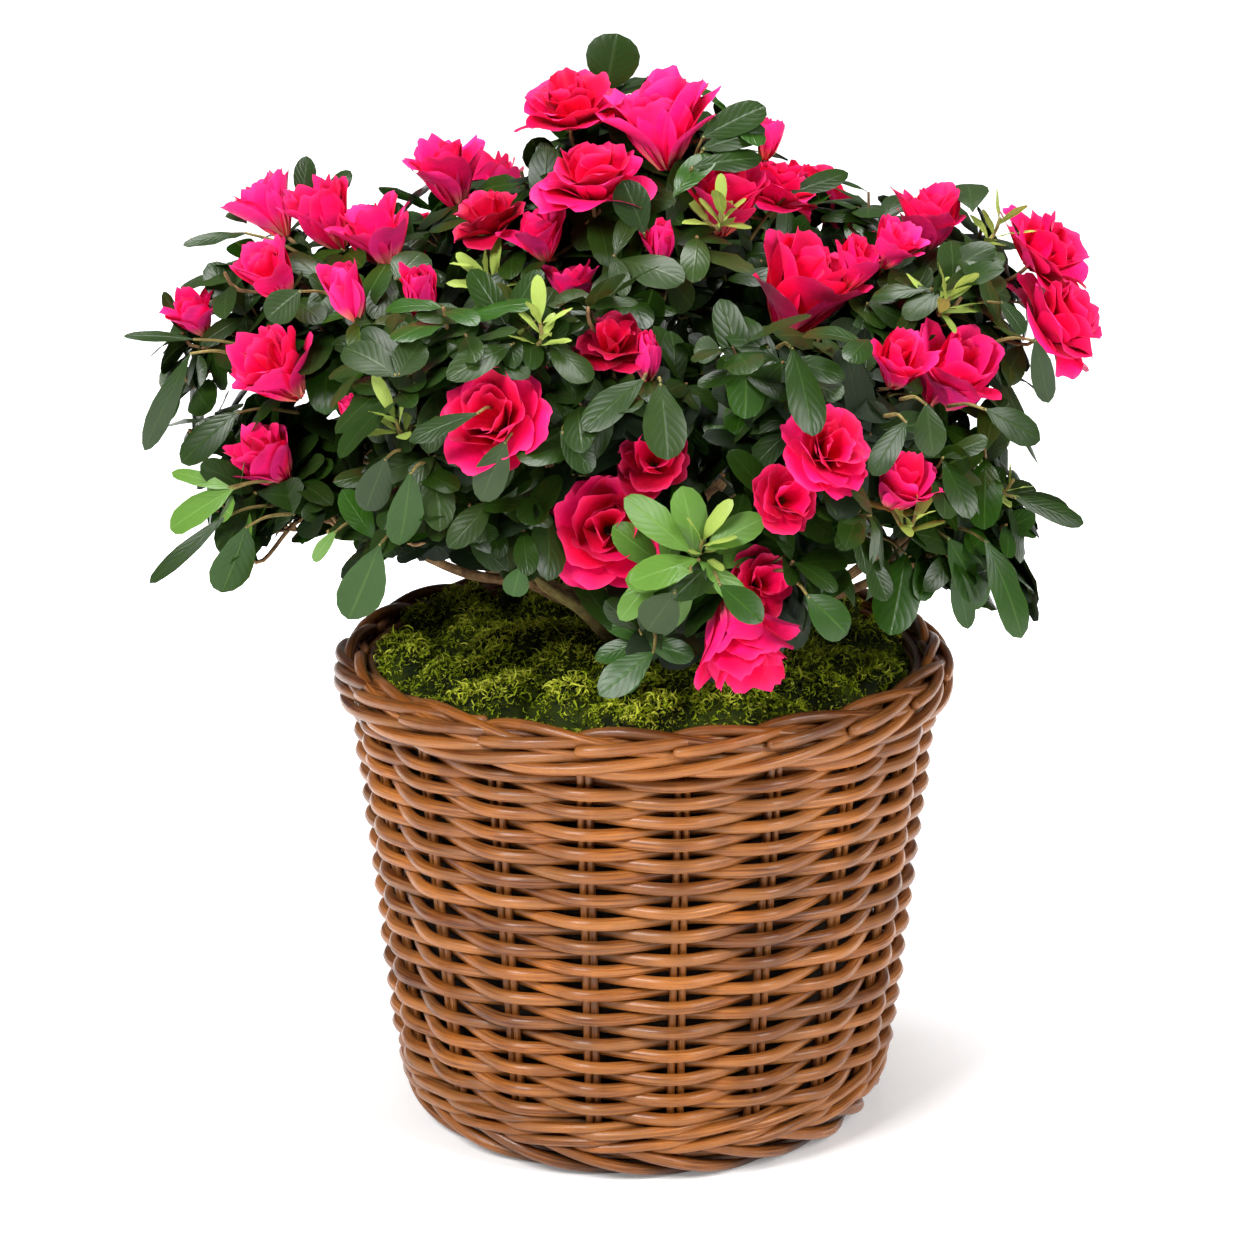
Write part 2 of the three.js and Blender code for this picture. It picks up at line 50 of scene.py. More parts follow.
stage = {
    "cameraPlace": (-9, -2132, 908),
    "lookDown": 16.8,            # degrees below level
    "lens": 120.6, "sensor": 36,
    "farthest": 60,              # metres
    "floorRadius": 12000, "floorCorners": 64,
    "floorSurface": {
        "Base Color": (0.93, 0.93, 0.935, 1), "Roughness": 0.9, "Specular IOR Level": 0.1,
        "Emission Color": (1, 1, 1, 1),
    },
    "floorGlow": (0.20, 1.0),    # white light from the paper under the basket, and further out
    "glowSpan": (0.25, 1.0),     # metres from the middle between the two
    "roomLight": 0.15,           # what the white room gives from all round
    "backdrop": 1.0,             # how bright it is where the camera sees it
    "lamps": [                   # name, place, size, strength, aim height
        ("softboxLeft", (-1300, -1700, 2000), 1000, 82, 330),
        ("softboxRight", (1700, -1300, 1500), 900, 38, 300),
        ("softboxTop", (0, 200, 2300), 1100, 55, 300),
    ],
}


def makeStage():
    makeCamera()
    makeFloor()
    makeLamps()
    makeRoom()
    bpy.context.scene.view_settings.view_transform = "Standard"
    print("camera, floor and lamps ready")


def makeCamera():
    camera = bpy.data.objects.new("camera", bpy.data.cameras.new("camera"))
    camera.data.sensor_width = stage["sensor"]
    camera.data.lens = stage["lens"]
    camera.data.clip_end = stage["farthest"]
    camera.location = [mm * v for v in stage["cameraPlace"]]
    camera.rotation_euler = (math.radians(90 - stage["lookDown"]), 0, 0)
    bpy.context.collection.objects.link(camera)
    bpy.context.scene.camera = camera


def makeFloor():
    radius, corners = stage["floorRadius"] * mm, stage["floorCorners"]
    turns = np.linspace(0, fullTurn, corners, endpoint=False)
    rim = [(radius * math.cos(turn), radius * math.sin(turn), 0) for turn in turns]
    sheet = bpy.data.meshes.new("floor")
    sheet.from_pydata(rim, [], [tuple(range(corners))])
    floor = bpy.data.objects.new("floor", sheet)
    bpy.context.collection.objects.link(floor)
    paper, tree, shader = newMaterial("whitePaper", stage["floorSurface"])
    where = put(tree, "TexCoord")
    away = put(tree, "VectorMath", {"operation": "LENGTH"})
    wire(tree, where.outputs["Object"], away.inputs[0])
    glow = smoothStep(tree, away.outputs["Value"], *stage["glowSpan"], *stage["floorGlow"])
    wire(tree, glow, shader.inputs["Emission Strength"])
    sheet.materials.append(paper)


def makeLamps():
    for name, place, size, strength, aim in stage["lamps"]:
        lamp = bpy.data.lights.new(name, "AREA")
        lamp.size = size * mm
        lamp.energy = strength
        holder = bpy.data.objects.new(name, lamp)
        start, target = np.array(place) * mm, np.array([0, 0, aim * mm])
        holder.location = start
        holder.rotation_euler = Vector(target - start).to_track_quat("-Z", "Y").to_euler()
        bpy.context.collection.objects.link(holder)


def makeRoom():
    world = bpy.data.worlds.new("whiteRoom")
    bpy.context.scene.world = world
    world.use_nodes = True
    tree = world.node_tree
    backing = tree.nodes["Background"]
    backing.inputs["Color"].default_value = (1, 1, 1, 1)
    seen = put(tree, "LightPath")
    level = put(tree, "MapRange", **{"To Min": stage["roomLight"], "To Max": stage["backdrop"]})
    wire(tree, seen.outputs["Is Camera Ray"], level.inputs["Value"])
    wire(tree, level.outputs["Result"], backing.inputs["Strength"])


# Shader node helpers. Groups put out only colours, masks, heights and normals.

def put(tree, kind, settings=None, **values):
    node = tree.nodes.new("ShaderNode" + kind)
    for key, value in (settings or {}).items():
        setattr(node, key, value)
    for key, value in values.items():
        node.inputs[key].default_value = value
    return node


def wire(tree, start, end):
    tree.links.new(start, end)


def fill(tree, socket, value):
    # a socket takes a plain value, or what another socket puts out
    if isinstance(value, bpy.types.NodeSocket):
        wire(tree, value, socket)
    elif value is not None:
        socket.default_value = value


def maths(tree, operation, first, second=None, third=None):
    node = put(tree, "Math", {"operation": operation})
    for socket, value in zip(node.inputs, (first, second, third)):
        fill(tree, socket, value)
    return node.outputs[0]


def times(tree, first, second):
    return maths(tree, "MULTIPLY", first, second)


def mixed(tree, share, first, second, blend="MIX"):
    node = put(tree, "Mix", {"data_type": "RGBA", "blend_type": blend})
    for socket, value in zip((node.inputs[0], node.inputs[6], node.inputs[7]), (share, first, second)):
        fill(tree, socket, value)
    return node.outputs[2]


def held(tree, value):
    clear = put(tree, "Clamp")
    wire(tree, value, clear.inputs[0])
    return clear.outputs[0]


def smoothStep(tree, value, start, end, low=0.0, high=1.0):
    node = put(tree, "MapRange", {"interpolation_type": "SMOOTHSTEP"},
               **{"From Min": start, "From Max": end, "To Min": low, "To Max": high})
    wire(tree, value, node.inputs["Value"])
    return node.outputs["Result"]


def partsOf(tree, vector):
    parts = put(tree, "SeparateXYZ")
    wire(tree, vector, parts.inputs[0])
    return parts.outputs["X"], parts.outputs["Y"], parts.outputs["Z"]


def flowParts(tree):
    # across a blade or round a rod, and from its root to its tip
    return partsOf(tree, put(tree, "UVMap", {"uv_map": "flow"}).outputs[0])[:2]


def newGroup(name, inputs, outputs):
    group = bpy.data.node_groups.new(name, "ShaderNodeTree")
    for label, kind, value in inputs:
        socket = group.interface.new_socket(label, in_out="INPUT", socket_type="NodeSocket" + kind)
        socket.default_value = value
    for label, kind in outputs:
        group.interface.new_socket(label, in_out="OUTPUT", socket_type="NodeSocket" + kind)
    ends = group.nodes.new("NodeGroupInput"), group.nodes.new("NodeGroupOutput")
    return group, ends[0].outputs, ends[1].inputs


def placeGroup(tree, group, values):
    node = tree.nodes.new("ShaderNodeGroup")
    node.node_tree = group
    for key, value in values.items():
        node.inputs[key].default_value = value
    return node.outputs


def makeToneGroup():
    # two near tones, dealt out piece by piece and dappled over each surface
    group, given, out = newGroup("dappledTone", [
        ("Dark", "Color", (0, 0, 0, 1)), ("Light", "Color", (1, 1, 1, 1)),
        ("Scale", "Float", 60), ("Dapple", "Float", 0.5), ("Piecewise", "Float", 0.5),
    ], [("Colour", "Color"), ("Mask", "Float")])
    where = put(group, "TexCoord")
    noise = put(group, "TexNoise", Detail=3.0, Roughness=0.6)
    wire(group, where.outputs["Object"], noise.inputs["Vector"])
    wire(group, given["Scale"], noise.inputs["Scale"])
    tone = put(group, "Attribute", {"attribute_name": "tone"})
    spots = times(group, maths(group, "SUBTRACT", noise.outputs[0], 0.5), given["Dapple"])
    piece = times(group, maths(group, "SUBTRACT", tone.outputs["Fac"], 0.5), given["Piecewise"])
    share = held(group, maths(group, "ADD", maths(group, "MULTIPLY_ADD", spots, 2.0, 0.5), piece))
    wire(group, mixed(group, share, given["Dark"], given["Light"]), out["Colour"])
    wire(group, share, out["Mask"])
    return group


def makeGrainGroup():
    # fine streaks that run along a rod, stem or petal, by the mesh's flow coordinate
    group, given, out = newGroup("lengthGrain", [
        ("Along", "Float", 1.0), ("Around", "Float", 12.0), ("Contrast", "Float", 1.0),
    ], [("Height", "Float"), ("Mask", "Float")])
    flow = put(group, "UVMap", {"uv_map": "flow"})
    stretch = put(group, "CombineXYZ", Z=1.0)
    wire(group, given["Along"], stretch.inputs["X"])
    wire(group, given["Around"], stretch.inputs["Y"])
    scaled = put(group, "VectorMath", {"operation": "MULTIPLY"})
    wire(group, flow.outputs[0], scaled.inputs[0])
    wire(group, stretch.outputs[0], scaled.inputs[1])
    noise = put(group, "TexNoise", Scale=1.0, Detail=4.0, Roughness=0.65)
    wire(group, scaled.outputs[0], noise.inputs["Vector"])
    height = maths(group, "SUBTRACT", noise.outputs[0], 0.5)
    strong = maths(group, "MULTIPLY_ADD", times(group, height, given["Contrast"]), 2.0, 0.5)
    wire(group, height, out["Height"])
    wire(group, held(group, strong), out["Mask"])
    return group


def makeVeinGroup():
    # midrib and side veins of a blade; flow runs 0 to 1 across it and 0 to 1 from root to tip
    group, given, out = newGroup("bladeVeins", [
        ("Width", "Float", 0.05), ("Veins", "Float", 9.0), ("Slant", "Float", 6.0),
    ], [("Midrib", "Float"), ("Edge", "Float"), ("Height", "Float")])
    edgeSpan, sideHeight = (0.43, 0.5), 0.35
    across, along = flowParts(group)
    off = maths(group, "ABSOLUTE", maths(group, "SUBTRACT", across, 0.5))
    ratio = maths(group, "DIVIDE", off, given["Width"])
    midrib = maths(group, "SUBTRACT", 1.0, maths(group, "MINIMUM", ratio, 1.0))
    row = maths(group, "SUBTRACT", times(group, along, given["Veins"]), times(group, off, given["Slant"]))
    wave = maths(group, "SINE", times(group, row, fullTurn))
    ridge = maths(group, "POWER", maths(group, "MULTIPLY_ADD", wave, 0.5, 0.5), 2.0)
    wire(group, midrib, out["Midrib"])
    wire(group, smoothStep(group, off, *edgeSpan), out["Edge"])
    wire(group, maths(group, "SUBTRACT", times(group, ridge, sideHeight), midrib), out["Height"])
    return group


def newMaterial(name, surface):
    material = bpy.data.materials.new(name)
    material.use_nodes = True
    shader = material.node_tree.nodes["Principled BSDF"]
    for key, value in surface.items():
        shader.inputs[key].default_value = value
    return material, material.node_tree, shader


def finishSurface(tree, shader, colour, mask, roughness, height, bump):
    # roughness runs from its first value to its second over the mask; bump is strength and depth
    wire(tree, colour, shader.inputs["Base Color"])
    level = put(tree, "MapRange", **{"To Min": roughness[0], "To Max": roughness[1]})
    wire(tree, mask, level.inputs["Value"])
    wire(tree, level.outputs["Result"], shader.inputs["Roughness"])
    relief = put(tree, "Bump", Strength=bump[0], Distance=bump[1])
    wire(tree, height, relief.inputs["Height"])
    wire(tree, relief.outputs["Normal"], shader.inputs["Normal"])


def tinted(tree, colour, mask, tint):
    return mixed(tree, 1.0, colour, mixed(tree, mask, *tint), "MULTIPLY")


makeStage()
toneGroup = makeToneGroup()
grainGroup = makeGrainGroup()
veinGroup = makeVeinGroup()


# Finishes. Colours are linear, and each tone, grain and veins entry sets its group's inputs.

wickerFinish = {
    "surface": {"Specular IOR Level": 0.30, "Coat Weight": 0.18, "Coat Roughness": 0.13},
    "tone": {"Scale": 22, "Dapple": 0.9, "Piecewise": 0.7},
    "grain": {"Along": 0.40, "Around": 11, "Contrast": 2.4},
    "grainTint": ((0.50, 0.42, 0.36, 1), (1.16, 1.16, 1.16, 1)),
    "streaks": {"Along": 0.13, "Around": 5, "Contrast": 2.6},
    "streak": (0.62, 0.28, 0.09, 1), "streakShare": 0.26,
    # painted shade: a near-black mixed in behind the uprights, where the weave's gaps lie in shade
    "gap": (0.010, 0.002, 0.0003, 1), "gapShare": 0.8,
    "gapSpan": (0.001, -0.007),       # metres outside the circle of uprights
    "gapBelow": (0.244, 0.230),       # metres of height: none at the first, all at the second
    "roughness": (0.46, 0.28), "bump": (0.5, 0.0006),
    "shades": {                       # dark and light
        "wicker": ((0.085, 0.017, 0.001, 1), (0.360, 0.113, 0.015, 1)),
        "wickerRim": ((0.070, 0.013, 0.001, 1), (0.285, 0.086, 0.011, 1)),
    },
}


def wickerMaterial(name):
    finish = wickerFinish
    material, tree, shader = newMaterial(name, finish["surface"])
    dark, light = finish["shades"][name]
    tone = placeGroup(tree, toneGroup, finish["tone"] | {"Dark": dark, "Light": light})
    grain = placeGroup(tree, grainGroup, finish["grain"])
    streaks = placeGroup(tree, grainGroup, finish["streaks"])
    colour = tinted(tree, tone["Colour"], grain["Mask"], finish["grainTint"])
    colour = mixed(tree, times(tree, streaks["Mask"], finish["streakShare"]), colour, finish["streak"])
    # painted shade darkens the rods in the gaps behind the uprights
    colour = mixed(tree, paintedShadeInWeave(tree), colour, finish["gap"])
    finishSurface(tree, shader, colour, grain["Mask"], finish["roughness"], grain["Height"], finish["bump"])
    return material


def paintedShadeInWeave(tree):
    # 1 behind the uprights' own circle, 0 in front of it: painted shade in the gaps of the weave
    where = put(tree, "TexCoord")
    x, y, z = partsOf(tree, where.outputs["Object"])
    radius = maths(tree, "SQRT", maths(tree, "ADD", times(tree, x, x), times(tree, y, y)))
    circle = maths(tree, "MULTIPLY_ADD", z, basket["flare"], basket["stakeRadiusAtFoot"] * mm)
    outside = maths(tree, "SUBTRACT", radius, circle)
    behind = smoothStep(tree, outside, *wickerFinish["gapSpan"], 0.0, wickerFinish["gapShare"])
    return times(tree, behind, smoothStep(tree, z, *wickerFinish["gapBelow"]))


leafFinish = {
    "surface": {"Specular IOR Level": 0.26, "Coat Weight": 0.05, "Coat Roughness": 0.20},
    "tone": {"Scale": 90, "Dapple": 0.7, "Piecewise": 0.9},
    "veins": {"Width": 0.05, "Veins": 7, "Slant": 5},
    "ribShare": 0.72, "edgeShare": 0.20, "underShare": 0.75,
    "duller": 0.08, "glossier": 0.04, "bump": (0.34, 0.0005),
    "shades": {                       # dark, light, midrib, underside, roughness
        "leafMature": ((0.001, 0.007, 0.001, 1), (0.018, 0.052, 0.002, 1),
                       (0.060, 0.130, 0.020, 1), (0.014, 0.034, 0.004, 1), 0.32),
        "leafGrey": ((0.004, 0.013, 0.002, 1), (0.034, 0.068, 0.010, 1),
                     (0.080, 0.140, 0.040, 1), (0.018, 0.038, 0.006, 1), 0.36),
        "leafFresh": ((0.002, 0.016, 0.001, 1), (0.018, 0.085, 0.003, 1),
                      (0.110, 0.240, 0.030, 1), (0.020, 0.060, 0.004, 1), 0.30),
        "leafYoung": ((0.17, 0.26, 0.035, 1), (0.42, 0.50, 0.10, 1),
                      (0.55, 0.62, 0.20, 1), (0.30, 0.40, 0.08, 1), 0.42),
        "leafLight": ((0.020, 0.068, 0.006, 1), (0.090, 0.205, 0.026, 1),
                      (0.28, 0.45, 0.12, 1), (0.10, 0.21, 0.03, 1), 0.34),
        # the next finish is near-black, painted shade for leaves deep inside the crown
        "leafPaintedShade": ((0.001, 0.004, 0.0005, 1), (0.005, 0.020, 0.001, 1),
                      (0.012, 0.030, 0.003, 1), (0.004, 0.014, 0.001, 1), 0.60),
    },
}


def leafMaterial(name):
    finish = leafFinish
    material, tree, shader = newMaterial(name, finish["surface"])
    dark, light, rib, under, rough = finish["shades"][name]
    tone = placeGroup(tree, toneGroup, finish["tone"] | {"Dark": dark, "Light": light})
    veins = placeGroup(tree, veinGroup, finish["veins"])
    colour = mixed(tree, times(tree, veins["Midrib"], finish["ribShare"]), tone["Colour"], rib)
    colour = mixed(tree, times(tree, veins["Edge"], finish["edgeShare"]), colour, rib)
    side = put(tree, "NewGeometry").outputs["Backfacing"]
    colour = mixed(tree, times(tree, side, finish["underShare"]), colour, under)
    roughness = rough + finish["duller"], rough - finish["glossier"]
    finishSurface(tree, shader, colour, tone["Mask"], roughness, veins["Height"], finish["bump"])
    return material


petalFinish = {
    "surface": {"Specular IOR Level": 0.10, "Sheen Weight": 0.02, "Sheen Roughness": 0.5},
    "tone": {"Scale": 70, "Dapple": 0.8, "Piecewise": 0.8},
    "grain": {"Along": 1.2, "Around": 9, "Contrast": 1.2},
    "grainTint": ((0.86, 0.80, 0.82, 1), (1.05, 1.05, 1.05, 1)),
    "throatSpan": (0.40, 0.02), "throatShare": 0.8,     # shares of a petal's length
    "rim": (1.0, 0.08, 0.32, 1), "rimShare": 0.36, "sideFade": 9.0, "endFade": 12.0,
    "roughness": (0.55, 0.42), "bump": (0.4, 0.0008),
    "shades": {                       # deep, bright, throat
        "petalPink": ((0.84, 0.001, 0.080, 1), (0.99, 0.009, 0.21, 1), (0.70, 0.001, 0.045, 1)),
        # a darker copy of the pink for the inner rings of petals: painted shade in the blossom's heart
        "petalPaintedInnerShade": ((0.72, 0.001, 0.042, 1), (0.92, 0.002, 0.12, 1), (0.54, 0.001, 0.024, 1)),
        # a darker copy of the pink for blossoms that sit in shade: painted shade
        "petalPaintedShade": ((0.44, 0.001, 0.020, 1), (0.70, 0.001, 0.06, 1), (0.32, 0.001, 0.012, 1)),
        "petalPale": ((0.90, 0.006, 0.13, 1), (0.99, 0.024, 0.27, 1), (0.88, 0.36, 0.18, 1)),
    },
}


def petalMaterial(name):
    finish = petalFinish
    material, tree, shader = newMaterial(name, finish["surface"])
    deep, bright, throat = finish["shades"][name]
    tone = placeGroup(tree, toneGroup, finish["tone"] | {"Dark": deep, "Light": bright})
    grain = placeGroup(tree, grainGroup, finish["grain"])
    across, along = flowParts(tree)
    base = smoothStep(tree, along, *finish["throatSpan"])
    colour = mixed(tree, times(tree, base, finish["throatShare"]), tone["Colour"], throat)
    colour = tinted(tree, colour, grain["Mask"], finish["grainTint"])
    # the rim of a petal is paler: its far end, and its two long sides
    aside = maths(tree, "ABSOLUTE", maths(tree, "MULTIPLY_ADD", across, 2 / petal["flowAcross"], -1.0))
    sides = times(tree, maths(tree, "POWER", aside, finish["sideFade"]), along)
    ends = maths(tree, "POWER", along, finish["endFade"])
    rim = times(tree, maths(tree, "MAXIMUM", sides, ends), finish["rimShare"])
    colour = mixed(tree, rim, colour, finish["rim"])
    finishSurface(tree, shader, colour, grain["Mask"], finish["roughness"], grain["Height"], finish["bump"])
    return material


barkFinish = {
    "surface": {"Specular IOR Level": 0.3},
    "tone": {"Dapple": 1.2, "Piecewise": 0.4},
    "grain": {"Along": 0.9, "Around": 11, "Contrast": 1.6},
    "grainTint": ((0.55, 0.52, 0.50, 1), (1.15, 1.13, 1.10, 1)),
    "roughness": (0.95, 0.7), "bumpStrength": 0.6,
    "shades": {                       # dark, light, scale of the dapples, depth of the relief
        "bark": ((0.105, 0.054, 0.022, 1), (0.44, 0.270, 0.125, 1), 140, 0.0012),
        "greenTwig": ((0.16, 0.110, 0.035, 1), (0.36, 0.30, 0.10, 1), 160, 0.0004),
        "darkSoil": ((0.010, 0.006, 0.004, 1), (0.045, 0.028, 0.016, 1), 120, 0.002),
    },
}


def barkMaterial(name):
    finish = barkFinish
    material, tree, shader = newMaterial(name, finish["surface"])
    dark, light, scale, depth = finish["shades"][name]
    tone = placeGroup(tree, toneGroup, finish["tone"] | {"Dark": dark, "Light": light, "Scale": scale})
    grain = placeGroup(tree, grainGroup, finish["grain"])
    colour = tinted(tree, tone["Colour"], grain["Mask"], finish["grainTint"])
    bump = finish["bumpStrength"], depth
    finishSurface(tree, shader, colour, grain["Mask"], finish["roughness"], grain["Height"], bump)
    return material


mossFinish = {
    "surface": {"Specular IOR Level": 0.12},
    "tone": {"Scale": 55, "Dapple": 1.3, "Piecewise": 0.9},
    "grain": {"Along": 3, "Around": 3, "Contrast": 1.4},
    "tipShare": 0.6, "roughness": (0.85, 0.6), "bump": (0.5, 0.0008),
    "shades": {                       # dark, light, tip
        # the bed under the strands is near-black: painted shade between them
        "mossPaintedShadeBed": ((0.006, 0.010, 0.001, 1), (0.045, 0.066, 0.003, 1), (0.05, 0.07, 0.004, 1)),
        "mossGreen": ((0.012, 0.030, 0.001, 1), (0.245, 0.330, 0.006, 1), (0.38, 0.46, 0.020, 1)),
        "mossBright": ((0.14, 0.19, 0.003, 1), (0.54, 0.60, 0.030, 1), (0.78, 0.80, 0.12, 1)),
    },
}


def mossMaterial(name):
    finish = mossFinish
    material, tree, shader = newMaterial(name, finish["surface"])
    dark, light, tip = finish["shades"][name]
    tone = placeGroup(tree, toneGroup, finish["tone"] | {"Dark": dark, "Light": light})
    grain = placeGroup(tree, grainGroup, finish["grain"])
    end = smoothStep(tree, flowParts(tree)[1], 0.0, 1.0)
    colour = mixed(tree, times(tree, end, finish["tipShare"]), tone["Colour"], tip)
    finishSurface(tree, shader, colour, grain["Mask"], finish["roughness"], grain["Height"], finish["bump"])
    return material


# Meshes are gathered as arrays in millimetres, with a flow coordinate and a tone for each point.

class Gathered:
    def __init__(self):
        self.points, self.flows, self.tones = [], [], []
        self.faces = {3: [], 4: []}
        self.kinds = {3: [], 4: []}
        self.count = 0

    def add(self, points, faces, flow, tone=0.5, kind=0):
        self.addFaces(faces, kind, self.count)
        self.points.append(points)
        self.flows.append(flow)
        self.tones.append(np.broadcast_to(tone, len(points)))
        self.count += len(points)

    def addFaces(self, faces, kind, start):
        faces = np.asarray(faces)
        self.faces[faces.shape[1]].append(faces + start)
        self.kinds[faces.shape[1]].append(np.broadcast_to(kind, len(faces)))

    def addSeveral(self, points, faces, flow, tones, kinds):
        # copies of one layout: points has one row of points for each copy
        copies, each = points.shape[:2]
        starts = (np.arange(copies) * each)[:, None, None]
        sides = faces.shape[1]
        self.faces[sides].append((faces[None] + starts).reshape(-1, sides) + self.count)
        self.kinds[sides].append(np.repeat(kinds, len(faces)))
        self.points.append(points.reshape(-1, 3))
        self.flows.append(np.tile(flow, (copies, 1)))
        self.tones.append(np.repeat(tones, each))
        self.count += copies * each

    def triangles(self):
        return sum((sides - 2) * len(part) for sides in (3, 4) for part in self.faces[sides])


def makePiece(name, gathered, materials, nodes=()):
    points = np.concatenate(gathered.points) * mm
    flows = np.concatenate(gathered.flows)
    loops, starts, totals, kinds = [], [], [], []
    offset = 0
    for sides in (4, 3):
        if not gathered.faces[sides]:
            continue
        faces = np.concatenate(gathered.faces[sides])
        loops.append(faces.ravel())
        starts.append(offset + sides * np.arange(len(faces)))
        totals.append(np.full(len(faces), sides))
        kinds.append(np.concatenate(gathered.kinds[sides]))
        offset += faces.size
    loops, starts, totals, kinds = [np.concatenate(part) for part in (loops, starts, totals, kinds)]
    mesh = bpy.data.meshes.new(name)
    mesh.vertices.add(len(points))
    mesh.vertices.foreach_set("co", points.astype(np.float32).ravel())
    mesh.loops.add(len(loops))
    mesh.loops.foreach_set("vertex_index", loops.astype(np.int32))
    mesh.polygons.add(len(starts))
    for key, values in (("loop_start", starts), ("loop_total", totals), ("material_index", kinds)):
        mesh.polygons.foreach_set(key, values.astype(np.int32))
    mesh.update(calc_edges=True)
    mesh.validate()
    mesh.shade_smooth()
    flow = mesh.uv_layers.new(name="flow")
    flow.data.foreach_set("uv", flows[loops].astype(np.float32).ravel())
    tone = mesh.attributes.new("tone", "FLOAT", "POINT")
    tone.data.foreach_set("value", np.concatenate(gathered.tones).astype(np.float32))
    for material in materials:
        mesh.materials.append(material)
    piece = bpy.data.objects.new(name, mesh)
    bpy.context.collection.objects.link(piece)
    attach(piece, "root")
    if nodes:
        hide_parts(*nodes)
    print(name, "made,", gathered.triangles(), "triangles")


def refinish(node, material):
    # a solid that stays gets its finish
    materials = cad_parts[node].data.materials
    materials.clear()
    materials.append(material)


def unit(vectors):
    return vectors / np.maximum(np.linalg.norm(vectors, axis=-1, keepdims=True), 1e-9)


def cells(corner, ahead):
    # four-sided faces between each row of points and the next
    return np.stack([corner[:-1], ahead[:-1], ahead[1:], corner[1:]], -1).reshape(-1, 4)


# rod ends are rounded: their length, thickness and middle, as shares of the radius
rodEnd = {"length": 0.5, "thickness": 0.72, "middle": 0.35}
flowLength = 10    # mm of a rod for each unit of its flow
twigOutward = [0.3, -0.5, 0.8]


def sweep(gathered, course, radii, sides, outward, tone=0.5, kind=0, relief=None, caps=True):
    # a closed round bar along course, with rounded ends; outward leans the first of its sides
    course = np.asarray(course, float)
    radii = np.broadcast_to(np.asarray(radii, float), len(course)).copy()
    outward = np.broadcast_to(np.asarray(outward, float), course.shape)
    if caps:
        first = course[:1] + unit(course[0] - course[1]) * radii[0] * rodEnd["length"]
        last = course[-1:] + unit(course[-1] - course[-2]) * radii[-1] * rodEnd["length"]
        course = np.concatenate([first, course, last])
        thin = rodEnd["thickness"]
        radii = np.concatenate([[radii[0] * thin], radii, [radii[-1] * thin]])
        outward = np.concatenate([outward[:1], outward, outward[-1:]])
    along = unit(np.gradient(course, axis=0))
    first = unit(outward - (outward * along).sum(1, keepdims=True) * along)
    second = np.cross(along, first)
    turn = np.arange(sides) * fullTurn / sides
    ring = first[:, None] * np.cos(turn)[None, :, None] + second[:, None] * np.sin(turn)[None, :, None]
    thick = radii[:, None] * (1 if relief is None else relief(len(course), sides))
    points = course[:, None] + ring * thick[..., None]
    length = np.concatenate([[0], np.cumsum(np.linalg.norm(np.diff(course, axis=0), axis=1))]) / flowLength
    rings = len(course)
    flow = np.empty((rings, sides, 2))
    flow[..., 0] = length[:, None]
    flow[..., 1] = np.abs(turn / math.pi - 1)[None]
    corner = np.arange(rings * sides).reshape(rings, sides)
    middle = rodEnd["middle"]
    ends = [course[0] - along[0] * radii[0] * middle, course[-1] + along[-1] * radii[-1] * middle]
    allPoints = np.concatenate([points.reshape(-1, 3), np.stack(ends)])
    allFlow = np.concatenate([flow.reshape(-1, 2), [[0, 0.5], [length[-1], 0.5]]])
    start = gathered.count
    gathered.add(allPoints, cells(corner, np.roll(corner, -1, axis=1)), allFlow, tone, kind)
    tips = [[rings * sides, corner[0, (i + 1) % sides], corner[0, i]] for i in range(sides)]
    tips += [[rings * sides + 1, corner[-1, i], corner[-1, (i + 1) % sides]] for i in range(sides)]
    gathered.addFaces(tips, kind, start)


def wander(random, count, every, size):
    # a smooth wavering line: a new random value every so many points, joined by a curve
    knots = random.normal(0, size, max(4, count // every + 3))
    spot = np.arange(count) / every
    low = spot.astype(int) % (len(knots) - 1)
    share = spot - spot.astype(int)
    share = share * share * (3 - 2 * share)
    return knots[low] * (1 - share) + knots[low + 1] * share


# Basket

# A waver is a new random value every so many points, and its size in mm, or as a share of the
# thickness.
basket = {
    "seed": 5,
    "stakeCount": 19,
    "stakeTurn": 7.2,                 # degrees from the front to the first pair of uprights
    "backStake": 9,                   # rods start and end at this pair, behind the basket
    "stakeRadiusAtFoot": 123.5,
    "flare": 0.108,                   # widening of the circle of uprights for each mm of height
    "drawnIn": 5, "drawnBelow": 55,   # how far the wall curves in at its foot, and from what height
    "stakeThickness": 4.2, "stakeFrom": 16, "stakeTo": 238, "stakeSteps": 16,
    "pairSpread": 0.54,               # from the middle of a pair to each of the two, in thicknesses
    "stakeWaver": {"aside": (4, 0.35), "out": (5, 0.2), "thick": (4, 0.04)},
    "weaverThickness": 7.1, "stepsPerStake": 10,
    "press": 0.2,                     # how far rods press into each other
    "zigzag": 1.3, "cornering": 7,    # the weaver runs straight between uprights and turns at each
    "weaverWaver": {"up": [(11, 0.35), (75, 0.4)], "out": (13, 0.3), "thick": (50, 0.05)},
    "roundsPerLength": (0.6, 0.5),    # the weaver's lengths, in double rounds: least, and how much more
    # heights of the weaver after so many rounds: the rows lie closer near the rim
    "weave": [
        [0, 35], [4.6, 62.6], [12.6, 117.4], [18.6, 157.6], [24.6, 195.4], [28.6, 217.6], [31, 229.6],
    ],
    "rodSides": 8,
}

# three rods twist round each other under the weave
wale = {
    "strands": 3, "lowest": 18.5, "rounds": 2, "pitch": 8.0, "thickness": 5.8, "steps": 8, "twist": 2.3,
    "swing": (0.33, 1.33), "swingLimits": (-1, 1.08),
    "waver": {"up": (12, 0.3), "out": (9, 0.25), "thick": (20, 0.05)},
}

